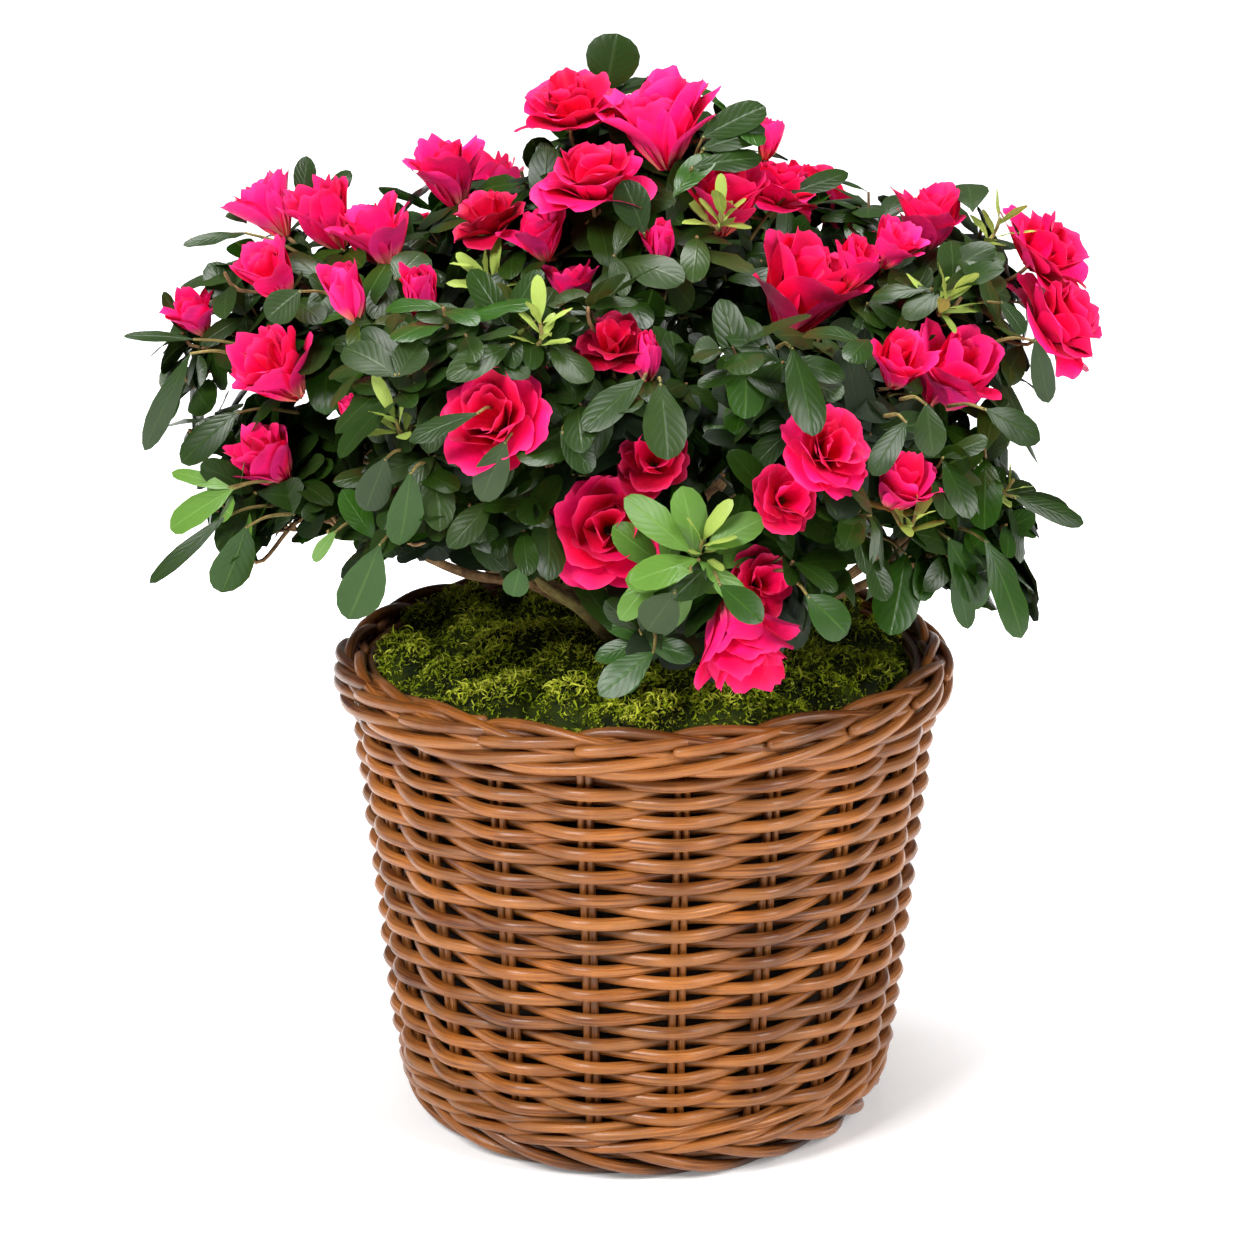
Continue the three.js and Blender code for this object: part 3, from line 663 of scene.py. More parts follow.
# Rods that wrap the rim and the foot. Knots: degrees along the ring, radius, height.
border = {
    "count": 20, "turn": -12.3, "longTurn": 4, "thickness": 6.2, "sides": 10,
    "cut": [
        [0, 161.4, 247.4], [6, 161.6, 248.8], [12, 160.4, 250.4], [18, 157.6, 251.2], [24, 153.4, 250.8],
        [29, 149.6, 250.4], [33, 147.4, 252.2],
    ],
    "long": [
        [-8, 149.6, 247.5], [-4, 150.4, 252.4], [2, 152.0, 255.2], [8, 154.6, 254.8], [14, 156.4, 252.3],
        [20, 157.2, 249.2], [27, 157.2, 246.0], [35, 155.6, 243.0], [43, 154.8, 240.0], [50, 156.8, 237.6],
        [56, 160.4, 236.6], [62, 161.6, 236.8], [70, 161.8, 238.8], [78, 160.6, 241.4], [86, 156.6, 242.8],
        [92, 152.6, 243.2],
    ],
    "core": [[150.0, 246.0], [150.6, 240.4], [151.0, 234.8], [145.2, 247.4], [144.0, 242.0]],
}

foot = {
    "count": 19, "turn": -8, "thickness": 6.2, "sides": 10,
    "long": [
        [-8, 123.0, 28], [-1, 126.4, 23.5], [7, 127.4, 18.2], [15, 126.0, 12.6], [23, 122.2, 7.6],
        [31, 117.2, 4.6], [38, 113.4, 3.6], [46, 109.5, 3.4],
    ],
    "core": [[118.5, 14.0], [116.0, 8.0], [121.0, 20.5]],
}

wrap = {
    "degreesPerStep": 2, "scatter": 0.9,         # degrees that a rod lies off its place
    "waver": {"out": (9, 0.25), "up": (9, 0.35), "thick": (10, 0.05)},
    "cutEnd": [0.86, 0.97],                      # the cut rods grow thinner at both ends
    "coreSteps": 120, "coreWaver": {"out": (7, 0.3), "up": (7, 0.4)},
}


def stakeRadius(height):
    low = np.maximum(0, 1 - height / basket["drawnBelow"])
    return basket["stakeRadiusAtFoot"] + basket["flare"] * height - basket["drawnIn"] * low ** 2


def stakeTurn(number):
    return math.radians(basket["stakeTurn"]) + number * fullTurn / basket["stakeCount"]


def onCircle(turn, radius, height):
    # turn is measured from the front, towards the right
    return np.stack([radius * np.sin(turn), -radius * np.cos(turn), height + 0 * turn], -1)


def addRod(rods, random, turn, radius, height, radii, sides):
    outward = np.stack([np.sin(turn), -np.cos(turn), 0 * turn], -1)
    sweep(rods, onCircle(turn, radius, height), radii, sides, outward, random.random())


def addStakes(rods, random):
    thick, waver, count = basket["stakeThickness"], basket["stakeWaver"], basket["stakeSteps"]
    heights = np.linspace(basket["stakeFrom"], basket["stakeTo"], count)
    for turn in stakeTurn(np.arange(basket["stakeCount"])):
        for side in (-basket["pairSpread"], basket["pairSpread"]):
            lean = wander(random, count, *waver["aside"])
            turns = turn + (side * thick + lean) / stakeRadius(heights)
            radius = stakeRadius(heights) + wander(random, count, *waver["out"])
            radii = thick / 2 * (1 + wander(random, count, *waver["thick"]))
            addRod(rods, random, turns, radius, heights, radii, basket["rodSides"])


def addWeaver(rods, random):
    # one long rod winds up the wall, in front of one pair and behind the next
    stakes, steps, waver = basket["stakeCount"], basket["stepsPerStake"], basket["weaverWaver"]
    knots = np.array(basket["weave"])
    count = int(knots[-1, 0] * stakes * steps)
    turn = np.arange(count) * fullTurn / (stakes * steps) + stakeTurn(basket["backStake"])
    phase = (turn - stakeTurn(basket["backStake"])) * stakes / 2
    zigzag = basket["zigzag"] * (2 / math.pi) * np.arcsin(np.cos(phase))
    wave = zigzag / (1 + np.abs(zigzag) ** basket["cornering"]) ** (1 / basket["cornering"])
    swing = (basket["stakeThickness"] + basket["weaverThickness"]) / 2 - basket["press"]
    height = smoothThrough((turn - turn[0]) / fullTurn, knots[:, 0], knots[:, 1])
    height = height + wander(random, count, *waver["up"][0]) + wander(random, count, *waver["up"][1])
    radius = stakeRadius(height) + swing * wave + wander(random, count, *waver["out"])
    radii = basket["weaverThickness"] / 2 * (1 + wander(random, count, *waver["thick"]))
    # it is laid in lengths, each with its own tone, which meet behind an upright
    least, more = basket["roundsPerLength"]
    cuts = [0]
    while cuts[-1] < count - 1:
        uprights = int(stakes * (least + more * random.random())) * 2 + (1 if len(cuts) == 1 else 0)
        cuts.append(min(cuts[-1] + uprights * steps, count - 1))
    for start, end in zip(cuts[:-1], cuts[1:]):
        part = slice(start, end + 2)
        addRod(rods, random, turn[part], radius[part], height[part], radii[part], basket["rodSides"])


def addWale(rods, random):
    # each rod goes over two pairs and behind the third
    stakes, steps, waver = basket["stakeCount"], wale["steps"], wale["waver"]
    count = wale["rounds"] * stakes * steps
    place = np.arange(count) / steps
    turn = stakeTurn(basket["backStake"]) + place * fullTurn / stakes
    middle, width = wale["swing"]
    for strand in range(wale["strands"]):
        phase = fullTurn * (place - strand - 0.5) / wale["strands"]
        swing = np.clip(middle + width * np.cos(phase), *wale["swingLimits"])
        height = wale["lowest"] + wale["pitch"] * place / stakes + wale["twist"] * np.sin(phase)
        height += wander(random, count, *waver["up"])
        reach = (basket["stakeThickness"] + wale["thickness"]) / 2
        radius = stakeRadius(height) + reach * swing + wander(random, count, *waver["out"])
        radii = wale["thickness"] / 2 * (1 + wander(random, count, *waver["thick"]))
        addRod(rods, random, turn, radius, height, radii, basket["rodSides"])


def wrapRods(rods, random, ring, family, extraTurn=0):
    # every rod of the family follows the same knots, a little differently
    knots, waver = np.array(ring[family], float), wrap["waver"]
    count = int((knots[-1, 0] - knots[0, 0]) / wrap["degreesPerStep"])
    place = np.linspace(knots[0, 0], knots[-1, 0], count)
    for k in range(ring["count"]):
        first = ring["turn"] + extraTurn + 360 * k / ring["count"]
        turn = np.radians(first + place + random.normal(0, wrap["scatter"]))
        radius = smoothThrough(place, knots[:, 0], knots[:, 1]) + wander(random, count, *waver["out"])
        height = smoothThrough(place, knots[:, 0], knots[:, 2]) + wander(random, count, *waver["up"])
        radii = ring["thickness"] / 2 * (1 + wander(random, count, *waver["thick"]))
        if family == "cut":
            radii[:2] *= wrap["cutEnd"]
            radii[-2:] *= wrap["cutEnd"][::-1]
        addRod(rods, random, turn, radius, height, radii, ring["sides"])


def addCore(rods, random, ring):
    # bent ends of the uprights fill the inside: rings that show only between the rods over them
    count, waver = wrap["coreSteps"], wrap["coreWaver"]
    turn = stakeTurn(basket["backStake"]) + np.arange(count) * fullTurn / (count - 1)
    for radius, height in ring["core"]:
        away = radius + wander(random, count, *waver["out"])
        level = height + wander(random, count, *waver["up"])
        addRod(rods, random, turn, away, level, ring["thickness"] / 2, basket["rodSides"])


def smoothThrough(place, knots, values):
    # a curve through the knots with slopes taken from their neighbours
    slopes = np.gradient(values, knots)
    index = np.clip(np.searchsorted(knots, place) - 1, 0, len(knots) - 2)
    width = knots[index + 1] - knots[index]
    t = (place - knots[index]) / width
    a = values[index] * (1 + 2 * t) * (1 - t) ** 2 + slopes[index] * width * t * (1 - t) ** 2
    b = values[index + 1] * t * t * (3 - 2 * t) + slopes[index + 1] * width * t * t * (t - 1)
    return a + b


def makeBasket():
    random = np.random.default_rng(basket["seed"])
    wall, rim, base = Gathered(), Gathered(), Gathered()
    addStakes(wall, random)
    addWeaver(wall, random)
    addWale(wall, random)
    wrapRods(rim, random, border, "cut")
    wrapRods(rim, random, border, "long", border["longTurn"])
    addCore(rim, random, border)
    wrapRods(base, random, foot, "long")
    addCore(base, random, foot)
    wicker, wickerRim = wickerMaterial("wicker"), wickerMaterial("wickerRim")
    makePiece("woven_wall", wall, [wicker], ["basket_wall"])
    makePiece("rolled_border", rim, [wickerRim], ["rim_border"])
    makePiece("foot_rods", base, [wicker], ["foot_border"])
    refinish("basket_base", wicker)


makeBasket()


# Moss on the soil

moss = {
    "seed": 12, "radius": 139.4, "soilTop": 241, "crown": 22, "edge": 9,
    "rings": 46, "sides": 120, "innermost": 0.02, "sunk": 5, "skirt": 0.3,
    "bedTone": 0.2, "flowLength": 20,
    "hills": 95, "hillSpread": 0.97, "turnScatter": 0.15, "placeScatter": 5,
    "hillWidth": 17, "widthShares": (0.75, 1.25),
    "hillHeight": 14, "heightShares": (0.5, 1.15), "hillPower": 0.8,
    # slow waves over the bed: height, then how fast it goes and where it starts, in x and in y
    "waves": [(1.2, 0.21, 1.3, 0.19, 0), (0.8, 0.47, 0, 0.43, 2)],
    # strands by piece: how many, length, how tightly they curl
    "strands": {"moss_tufts": (17000, 9.5, 1.0), "moss_curls": (11000, 6.5, 1.6)},
}

# Shares are of the length, width or curl that the piece gives.
strand = {
    "steps": 5, "width": 0.95, "widths": [0.8, 1.0, 1.0, 0.9, 0.7, 0.15], "widthShares": (0.7, 1.35),
    "spread": 1.02, "rootDepth": 1,
    "leanUp": (0.3, 1.9), "bendUp": (-0.1, 0.8), "curlShares": (0.7, 1.9), "twist": 0.9,
    "lengthShares": (0.5, 1.3), "onFlat": 0.65, "onHill": 0.5,
    "overRim": 250, "pastRim": 4, "pastMoss": 1,     # how far strands reach, above and below the rim
    # strands on the hills are lighter and more often bright, as painted light, and darker between them, as
    # painted shade
    "tone": 0.16, "paintedHillLight": 0.80, "tonePower": 1.3, "toneScatter": 0.20,
    "brightShare": 0.08, "paintedHillBright": 0.60,
}


def mossLevel(radius):
    share = np.minimum(radius / moss["radius"], 1)
    return moss["soilTop"] + moss["edge"] + (moss["crown"] - moss["edge"]) * (1 - share * share)


def hillMap(random):
    k = np.arange(moss["hills"])
    radius = moss["radius"] * moss["hillSpread"] * np.sqrt((k + 0.5) / moss["hills"])
    turn = k * goldenTurn + random.normal(0, moss["turnScatter"], len(k))
    places = np.stack([radius * np.cos(turn), radius * np.sin(turn)], -1)
    places = places + random.normal(0, moss["placeScatter"], (len(k), 2))
    widths = moss["hillWidth"] * random.uniform(*moss["widthShares"], len(k))
    heights = moss["hillHeight"] * random.uniform(*moss["heightShares"], len(k))
    return places, widths, heights


def mossHeights(x, y, hills):
    places, widths, heights = hills
    away = np.hypot(x[..., None] - places[:, 0], y[..., None] - places[:, 1]) / widths
    rise = (heights * np.maximum(0, 1 - away * away) ** moss["hillPower"]).max(-1)
    wave = sum(size * np.sin(x * a + b) * np.sin(y * c + d) for size, a, b, c, d in moss["waves"])
    return mossLevel(np.hypot(x, y)) - moss["sunk"] + rise + wave, rise


# the bed's dark finish and low tone are painted shade where it shows between the strands
def makeBed(hills):
    sides = moss["sides"]
    radius = moss["radius"] * np.linspace(moss["innermost"], 1, moss["rings"])
    turn = np.arange(sides) * fullTurn / sides
    x, y = radius[:, None] * np.cos(turn), radius[:, None] * np.sin(turn)
    z, _ = mossHeights(x, y, hills)
    floor = moss["soilTop"] + moss["skirt"]
    skirt = np.stack([x[-1], y[-1], 0 * x[-1] + floor], -1)
    middle = np.array([[0, 0, floor], [0, 0, z[0].mean()]])
    points = np.concatenate([np.stack([x, y, z], -1).reshape(-1, 3), skirt, middle])
    corner = np.arange((moss["rings"] + 1) * sides).reshape(-1, sides)
    ahead = np.roll(corner, -1, axis=1)
    faces = np.stack([corner[:-1], corner[1:], ahead[1:], ahead[:-1]], -1).reshape(-1, 4)
    flow = np.stack([points[:, 0] / moss["flowLength"], 0 * points[:, 1]], -1)
    bed = Gathered()
    bed.add(points, faces, flow, moss["bedTone"])
    low, high = len(points) - 2, len(points) - 1
    fans = [[low, corner[-1, (i + 1) % sides], corner[-1, i]] for i in range(sides)]
    fans += [[high, corner[0, i], corner[0, (i + 1) % sides]] for i in range(sides)]
    bed.addFaces(fans, 0, 0)
    makePiece("moss_bed", bed, [mossMaterial("mossPaintedShadeBed")], ["moss"])


def makeMoss():
    random = np.random.default_rng(moss["seed"])
    hills = hillMap(random)
    makeBed(hills)
    finishes = [mossMaterial("mossGreen"), mossMaterial("mossBright")]
    for name, (count, length, curl) in moss["strands"].items():
        tufts = Gathered()
        addStrands(tufts, random, hills, count, length, curl)
        makePiece(name, tufts, finishes)


def addStrands(tufts, random, hills, count, length, curl):
    # curled strands stand on the bed, long on its hills and short between them; their tone is painted light
    # on the hills and painted shade between them
    radius = moss["radius"] * strand["spread"] * np.sqrt(random.random(count))
    turn = random.random(count) * fullTurn
    x, y = radius * np.cos(turn), radius * np.sin(turn)
    z, rise = mossHeights(x, y, hills)
    height = rise / moss["hillHeight"]
    steps = strand["steps"]
    lean = [*random.normal(0, 1, (2, count)), random.uniform(*strand["leanUp"], count)]
    bend = [*random.normal(0, 1, (2, count)), random.normal(*strand["bendUp"], count)]
    direction, bend = unit(np.stack(lean, -1)), unit(np.stack(bend, -1))
    lengths = length * random.uniform(*strand["lengthShares"], count)
    lengths = lengths * (strand["onFlat"] + strand["onHill"] * height)
    line = np.stack([x, y, z - strand["rootDepth"]], -1)
    rows = [line]
    turning = curl * random.uniform(*strand["curlShares"], count)[:, None]
    twist = unit(np.cross(direction, bend))
    for _ in range(steps):
        line = line + direction * (lengths / steps)[:, None]
        rows.append(line)
        direction = unit(direction + bend * turning)
        bend = unit(bend + twist * strand["twist"] - direction * turning)
    rows = np.stack(rows, 1)
    over = rows[..., 2] > strand["overRim"]
    limit = moss["radius"] + np.where(over, strand["pastRim"], strand["pastMoss"])
    spread = np.hypot(rows[..., 0], rows[..., 1])
    rows[..., :2] *= np.minimum(1, limit / np.maximum(spread, 1e-6))[..., None]
    across = unit(np.cross(rows[:, -1] - rows[:, 0], random.normal(0, 1, (count, 3))))[:, None]
    widths = strand["width"] * np.array(strand["widths"])[None, :, None]
    widths = widths * random.uniform(*strand["widthShares"], count)[:, None, None]
    left, right = rows - across * widths / 2, rows + across * widths / 2
    ribbon = np.stack([left, right], 2).reshape(count, -1, 3)
    k = np.arange(steps) * 2
    faces = np.stack([k, k + 1, k + 3, k + 2], -1)
    flow = np.stack([np.tile([0.0, 1.0], steps + 1), np.repeat(np.linspace(0, 1, steps + 1), 2)], -1)
    # painted light on the hills, painted shade in the hollows
    tones = strand["tone"] + strand["paintedHillLight"] * height ** strand["tonePower"]
    tones = np.clip(tones + random.normal(0, strand["toneScatter"], count), 0, 1)
    bright = random.random(count) < strand["brightShare"] + strand["paintedHillBright"] * height ** 2
    tufts.addSeveral(ribbon, faces, flow, tones, bright.astype(int))


makeMoss()
refinish("soil_ball", barkMaterial("darkSoil"))


# Trunk, boughs and masses of the crown

crown = {
    "seed": 31,
    "heart": (-10, 0, 335),       # blossoms and shoots face away from it
    "reach": ((-264, -204, 259), (240, 204, 566)),
    "trunkCourse": [[-16, 2, 241.3], [-16, 2, 252], [-14, 1, 268], [-10, 0, 300]],
    "trunkRadii": [16, 11, 9.2, 8],
    "trunkFoot": 241.3, "trunkTop": 300, "highestBough": 0.97,
    "boughShare": 0.62,           # how far a bough runs from its bend to the centre of its mass
    "stemPast": 0.25, "stemRise": 2,
    "twigsFrom": 0.2, "twigsOver": 0.75, "twigRise": 0.1, "twigScatter": 2.5, "neck": 10,
    "tipSpacing": 42, "tipsPerMass": 8, "tipRoom": 4, "outerShare": (0.66, 0.14),
    "innerTips": 9, "innerShare": 0.42, "blossomSink": 0.35, "facingScatter": 0.10,
    "fewestLeaves": 3,            # a shoot with fewer isn't made
    "nearSpot": 40,               # leaves this near a listed blossom or shoot belong to its mass
    # how much blossoms and shoots turn up to the light, by kind
    "lift": {
        "open": 0.35, "fan": 0.9, "shade": 0.3, "half": 1.2, "bud": 1.6,
        "leafy": 0.8, "light": 0.2, "young": 1.1, "inner": 0.3,
    },
    # the crown's outline on the upright plane through the trunk, as seen from the camera's place
    "outline": [
        (-47, 563), (-27, 577), (-7, 574), (0, 563), (23, 565), (34, 555), (36, 541),
        (55, 547), (64, 534), (80, 521), (86, 513), (107, 513), (106, 501), (121, 499),
        (149, 508), (176, 505), (187, 491), (206, 494), (222, 481), (228, 461), (243, 451),
        (236, 430), (237, 414), (216, 408), (211, 387), (197, 403), (191, 394), (209, 369),
        (189, 360), (181, 355), (200, 352), (203, 342), (234, 324), (214, 318), (198, 312),
        (210, 287), (208, 260), (191, 264), (179, 279), (171, 262), (159, 280), (146, 273),
        (134, 264), (122, 279), (113, 293), (103, 279), (100, 263), (86, 256), (79, 242),
        (65, 224), (38, 227), (25, 242), (10, 239), (-10, 226), (-24, 229), (-33, 246),
        (-30, 262), (-52, 279), (-69, 281), (-76, 295), (-108, 305), (-121, 296), (-134, 303),
        (-143, 285), (-156, 264), (-168, 277), (-160, 300), (-152, 312), (-165, 318), (-178, 298),
        (-181, 312), (-194, 308), (-204, 301), (-219, 278), (-230, 295), (-226, 311), (-264, 288),
        (-250, 319), (-252, 335), (-238, 341), (-252, 355), (-235, 356), (-238, 367), (-269, 358),
        (-263, 399), (-252, 414), (-271, 430), (-249, 432), (-250, 452), (-235, 465), (-239, 478),
        (-213, 486), (-212, 508), (-188, 515), (-176, 522), (-161, 510), (-150, 515), (-130, 496),
        (-125, 513), (-112, 534), (-84, 521), (-76, 502), (-59, 506), (-65, 535), (-56, 558),
    ],
    # stems that show below the leaves: course, radii, kind of bark
    "lowStems": [
        ([[-12, 0, 250], [-25, -40, 277], [-67, -62, 320], [-110, -84, 364], [-126, -96, 392]],
         [3.4, 2.6, 2.0], 1),
        ([[-16, 0, 262], [-48, -24, 295], [-96, -34, 306], [-142, -34, 327], [-176, -40, 336]],
         [3.6, 2.7, 1.8], 0),
        ([[-8, 4, 256], [40, -10, 282], [93, -14, 284], [128, -20, 300], [170, -30, 320]],
         [3.6, 2.8, 1.8], 0),
        ([[-10, -6, 262], [-60, -30, 300], [-120, -60, 330], [-160, -84, 340]], [2.4, 1.8, 1.3], 1),
    ],
    "youngRadius": 12,
}

# centre, half sizes, the height where the bough leaves the trunk, and its bend; then each blossom's
# centre, radius and kind, the leafy tips and the young shoots
masses = {
    "crown_top": {
        "seed": 107, "centre": [-8, 5, 496], "half": [84, 78, 66],
        "forkAt": 298, "bend": [-16, 4, 380],
        "flowers": [[-38, -23, 545, 25, "open"], [8, -30, 541, 26, "fan"], [-26, -56, 515, 27, "open"],
                    [-101, 5, 508, 20, "fan"], [-78, -34, 491, 20, "shade"], [-53, -54, 487, 15, "half"],
                    [-37, -56, 461, 15, "half"], [42, -40, 504, 22, "fan"], [68, -10, 502, 22, "open"]],
        "buds": [[8, -68, 486, 12], [64, 0, 525, 10]],
        "shoots": [[-18, 14, 550], [44, -16, 544], [-84, -4, 494], [26, -66, 488], [-58, -14, 512],
                   [-12, -76, 462]],
        "young": [[-79, -52, 466], [38, -62, 500]],
    },
    "upper_left": {
        "seed": 104, "centre": [-148, -12, 430], "half": [86, 80, 68],
        "forkAt": 296, "bend": [-72, -6, 352],
        "flowers": [[-194, 2, 491, 19, "half"], [-166, -14, 490, 22, "half"], [-136, -34, 484, 19, "fan"],
                    [-190, -50, 467, 18, "half"], [-232, -18, 439, 14, "half"],
                    [-188, -67, 421, 22, "fan"]],
        "buds": [[-148, -82, 463, 15], [-112, -86, 464, 15], [-145, -80, 399, 10]],
        "shoots": [[-238, -20, 428], [-206, 0, 484], [-214, -30, 462], [-168, -50, 444],
                   [-140, -72, 430], [-102, -78, 428], [-238, -16, 404]],
        "young": [],
    },
    "upper_right": {
        "seed": 109, "centre": [150, -8, 428], "half": [88, 80, 70],
        "forkAt": 294, "bend": [62, -2, 344],
        "flowers": [[82, -46, 458, 29, "fan"], [107, -47, 471, 15, "half"], [126, -46, 480, 14, "half"],
                    [146, -10, 486, 20, "fan"], [204, -19, 470, 26, "open"], [211, -34, 438, 28, "open"],
                    [156, -76, 421, 25, "fan"]],
        "buds": [],
        "shoots": [[174, 4, 478], [158, -72, 458], [196, -60, 414], [110, -2, 490], [178, -74, 448],
                   [94, -70, 440], [130, -76, 430], [200, -52, 386]],
        "young": [[152, -80, 460], [181, -24, 489]],
    },
    "side_left": {
        "seed": 113, "centre": [-184, -22, 344], "half": [76, 74, 54],
        "forkAt": 272, "bend": [-82, -12, 300],
        "flowers": [[-193, -65, 374, 19, "fan"]], "buds": [],
        "shoots": [[-236, -16, 376], [-206, -60, 322], [-180, -50, 352], [-222, -40, 346], [-160, -66, 340],
                   [-184, 6, 380]],
        "young": [], "light": [[-214, -70, 350]],
    },
    "side_right": {
        "seed": 113, "centre": [168, -22, 338], "half": [72, 74, 60],
        "forkAt": 268, "bend": [78, -10, 282],
        "flowers": [], "buds": [],
        "shoots": [[204, -60, 372], [214, -56, 346], [198, -44, 296], [172, -66, 300], [184, -70, 340],
                   [150, -80, 330], [160, 34, 372], [150, 40, 330]],
        "young": [[186, -80, 366]],
    },
    "front_left": {
        "seed": 115, "centre": [-94, -112, 416], "half": [72, 70, 50],
        "forkAt": 288, "bend": [-62, -52, 320],
        "flowers": [[-73, -160, 417, 26, "open"]], "buds": [],
        "shoots": [[-80, -150, 450], [-122, -136, 440], [-56, -150, 444], [-116, -150, 392],
                   [-98, -140, 468]],
        "young": [[-121, -156, 416], [-51, -146, 462]],
    },
    "front_middle": {
        "seed": 108, "centre": [-10, -114, 400], "half": [60, 66, 58],
        "forkAt": 290, "bend": [-12, -50, 352],
        "flowers": [[-16, -124, 447, 18, "shade"], [4, -140, 391, 18, "shade"],
                    [-19, -134, 356, 28, "open"]],
        "buds": [[1, -130, 441, 12]],
        "shoots": [[-32, -160, 410], [-28, -130, 466],
                   [18, -66, 372], [30, -54, 398], [-44, -70, 372], [8, -40, 346]],
        "young": [],
    },
    "front_right": {
        "seed": 112, "centre": [94, -120, 408], "half": [74, 70, 60],
        "forkAt": 286, "bend": [50, -52, 330],
        "flowers": [[88, -170, 404, 21, "open"], [68, -168, 380, 17, "shade"], [126, -146, 382, 18, "half"],
                    [125, -127, 438, 16, "half"]],
        "buds": [],
        "shoots": [[48, -162, 442], [110, -140, 456], [150, -136, 388], [104, -160, 372],
                   [44, -70, 380], [64, -60, 350]],
        "young": [[132, -150, 366]],
    },
    "low_left": {
        "seed": 114, "centre": [-98, -104, 350], "half": [66, 62, 34],
        "forkAt": 278, "bend": [-50, -46, 296],
        "flowers": [], "buds": [],
        "shoots": [[-134, -120, 346], [-118, -136, 366], [-60, -146, 358], [-86, -150, 372]],
        "young": [],
    },
    "low_right": {
        "seed": 118, "centre": [50, -120, 320], "half": [76, 62, 46],
        "forkAt": 270, "bend": [22, -60, 284],
        "flowers": [[46, -154, 302, 26, "fan", [0.26, -0.52, -0.80]], [57, -146, 331, 17, "shade"]],
        "buds": [],
        "shoots": [[84, -150, 322], [110, -126, 316], [-12, -132, 300], [72, -160, 346], [0, -120, 290]],
        "young": [[28, -158, 356]], "light": [[26, -160, 347], [10, -150, 340]],
    },
    "back_left": {
        "seed": 109, "centre": [-92, 112, 414], "half": [84, 78, 68],
        "forkAt": 292, "bend": [-46, 48, 330],
        "flowers": [[-124, 144, 440, 24, "open"], [-30, 150, 440, 25, "open"], [-84, 122, 474, 22, "fan"],
                    [-158, 120, 420, 22, "half"], [-62, 168, 384, 22, "open"]],
        "buds": [[-110, 172, 410, 11]],
        "shoots": [[-140, 140, 380], [-36, 150, 398], [-130, 100, 470], [-88, 166, 430], [-14, 120, 420],
                   [-20, 96, 380], [-8, 110, 462], [-100, 158, 398]],
        "young": [[-150, 146, 396]],
    },
    "back_right": {
        "seed": 112, "centre": [88, 112, 416], "half": [84, 78, 66],
        "forkAt": 288, "bend": [44, 48, 334],
        "flowers": [[40, 146, 474, 23, "fan"], [118, 150, 444, 25, "open"], [160, 112, 410, 22, "half"],
                    [92, 118, 474, 22, "open"], [66, 168, 402, 23, "open"]],
        "buds": [[36, 172, 410, 11]],
        "shoots": [[24, 140, 440], [150, 130, 380], [130, 96, 470], [84, 164, 440], [16, 124, 400],
                   [34, 140, 372], [14, 90, 440], [104, 160, 410], [22, 62, 428],
                   [36, 68, 396], [150, 54, 400], [154, 50, 436]],
        "young": [[64, 170, 398]],
    },
    "back_low_left": {
        "seed": 103, "centre": [-108, 110, 330], "half": [74, 68, 46],
        "forkAt": 274, "bend": [-50, 42, 290],
        "flowers": [[-124, 152, 340, 23, "open"]], "buds": [],
        "shoots": [[-160, 120, 330], [-84, 158, 316], [-60, 146, 346], [-24, 120, 340], [-30, 112, 304],
                   [-96, 150, 366], [-130, 48, 346], [-118, 44, 308]], "young": [],
    },
    "back_low_right": {
        "seed": 102, "centre": [104, 108, 330], "half": [74, 68, 48],
        "forkAt": 272, "bend": [48, 42, 286],
        "flowers": [[84, 154, 340, 24, "open"], [158, 120, 336, 20, "half"]], "buds": [],
        "shoots": [[60, 150, 312], [130, 150, 316], [150, 90, 350], [24, 122, 336], [30, 110, 306],
                   [112, 152, 362], [146, 56, 356], [134, 52, 312]], "young": [],
    },
}
for mass in masses.values():
    mass["centre"] = np.array(mass["centre"], float)
    mass["half"] = np.array(mass["half"], float)
    listed = mass["flowers"] + mass["shoots"] + mass["young"] + mass.get("light", [])
    mass["spots"] = [np.array(spot[:3], float) for spot in listed]
# a blossom that hangs has the way it faces after its kind
flowers = [flower for mass in masses.values() for flower in mass["flowers"]]
hanging = {tuple(map(float, flower[:3])): np.array(flower[5]) for flower in flowers if len(flower) > 5}
heart = np.array(crown["heart"], float)

# relief is a share of the radius; kinks are a new random value every so many points, and its size
limbs = {
    "trunk": {"points": 40, "sides": 20, "relief": 0.035, "shrink": 0.97, "tone": 0.4},
    "lowStem": {"points": 40, "sides": 10, "relief": 0.04, "kinks": (6, 0.9)},
    "bough": {"points": 36, "sides": 12, "radii": [4.6, 3.5, 2.3], "relief": 0.05, "kinks": (7, 1.0)},
    "stem": {"points": 24, "sides": 8, "radii": [2.6, 1.9], "relief": 0.04},
    "twig": {"points": 16, "sides": 6, "radii": [1.5, 1.0]},
    "side": {"points": 8, "sides": 5, "radii": [0.95, 0.7]},
    "stalk": {"points": 10, "sides": 5, "radii": [1.1, 0.7]},
}
ridge = {"every": 3, "fine": 0.5}
# twigs and leaves stay over the moss, and over the border outside it
pot = {"inside": 138, "overMoss": 3, "outside": 172, "top": 257}


def drawsFrom(seed):
    # the same repeatable run of numbers between 0 and 1 that the solids grow by
    state = seed
    while True:
        state = (state * 1664525 + 1013904223) % 4294967296
        yield state / 4294967296


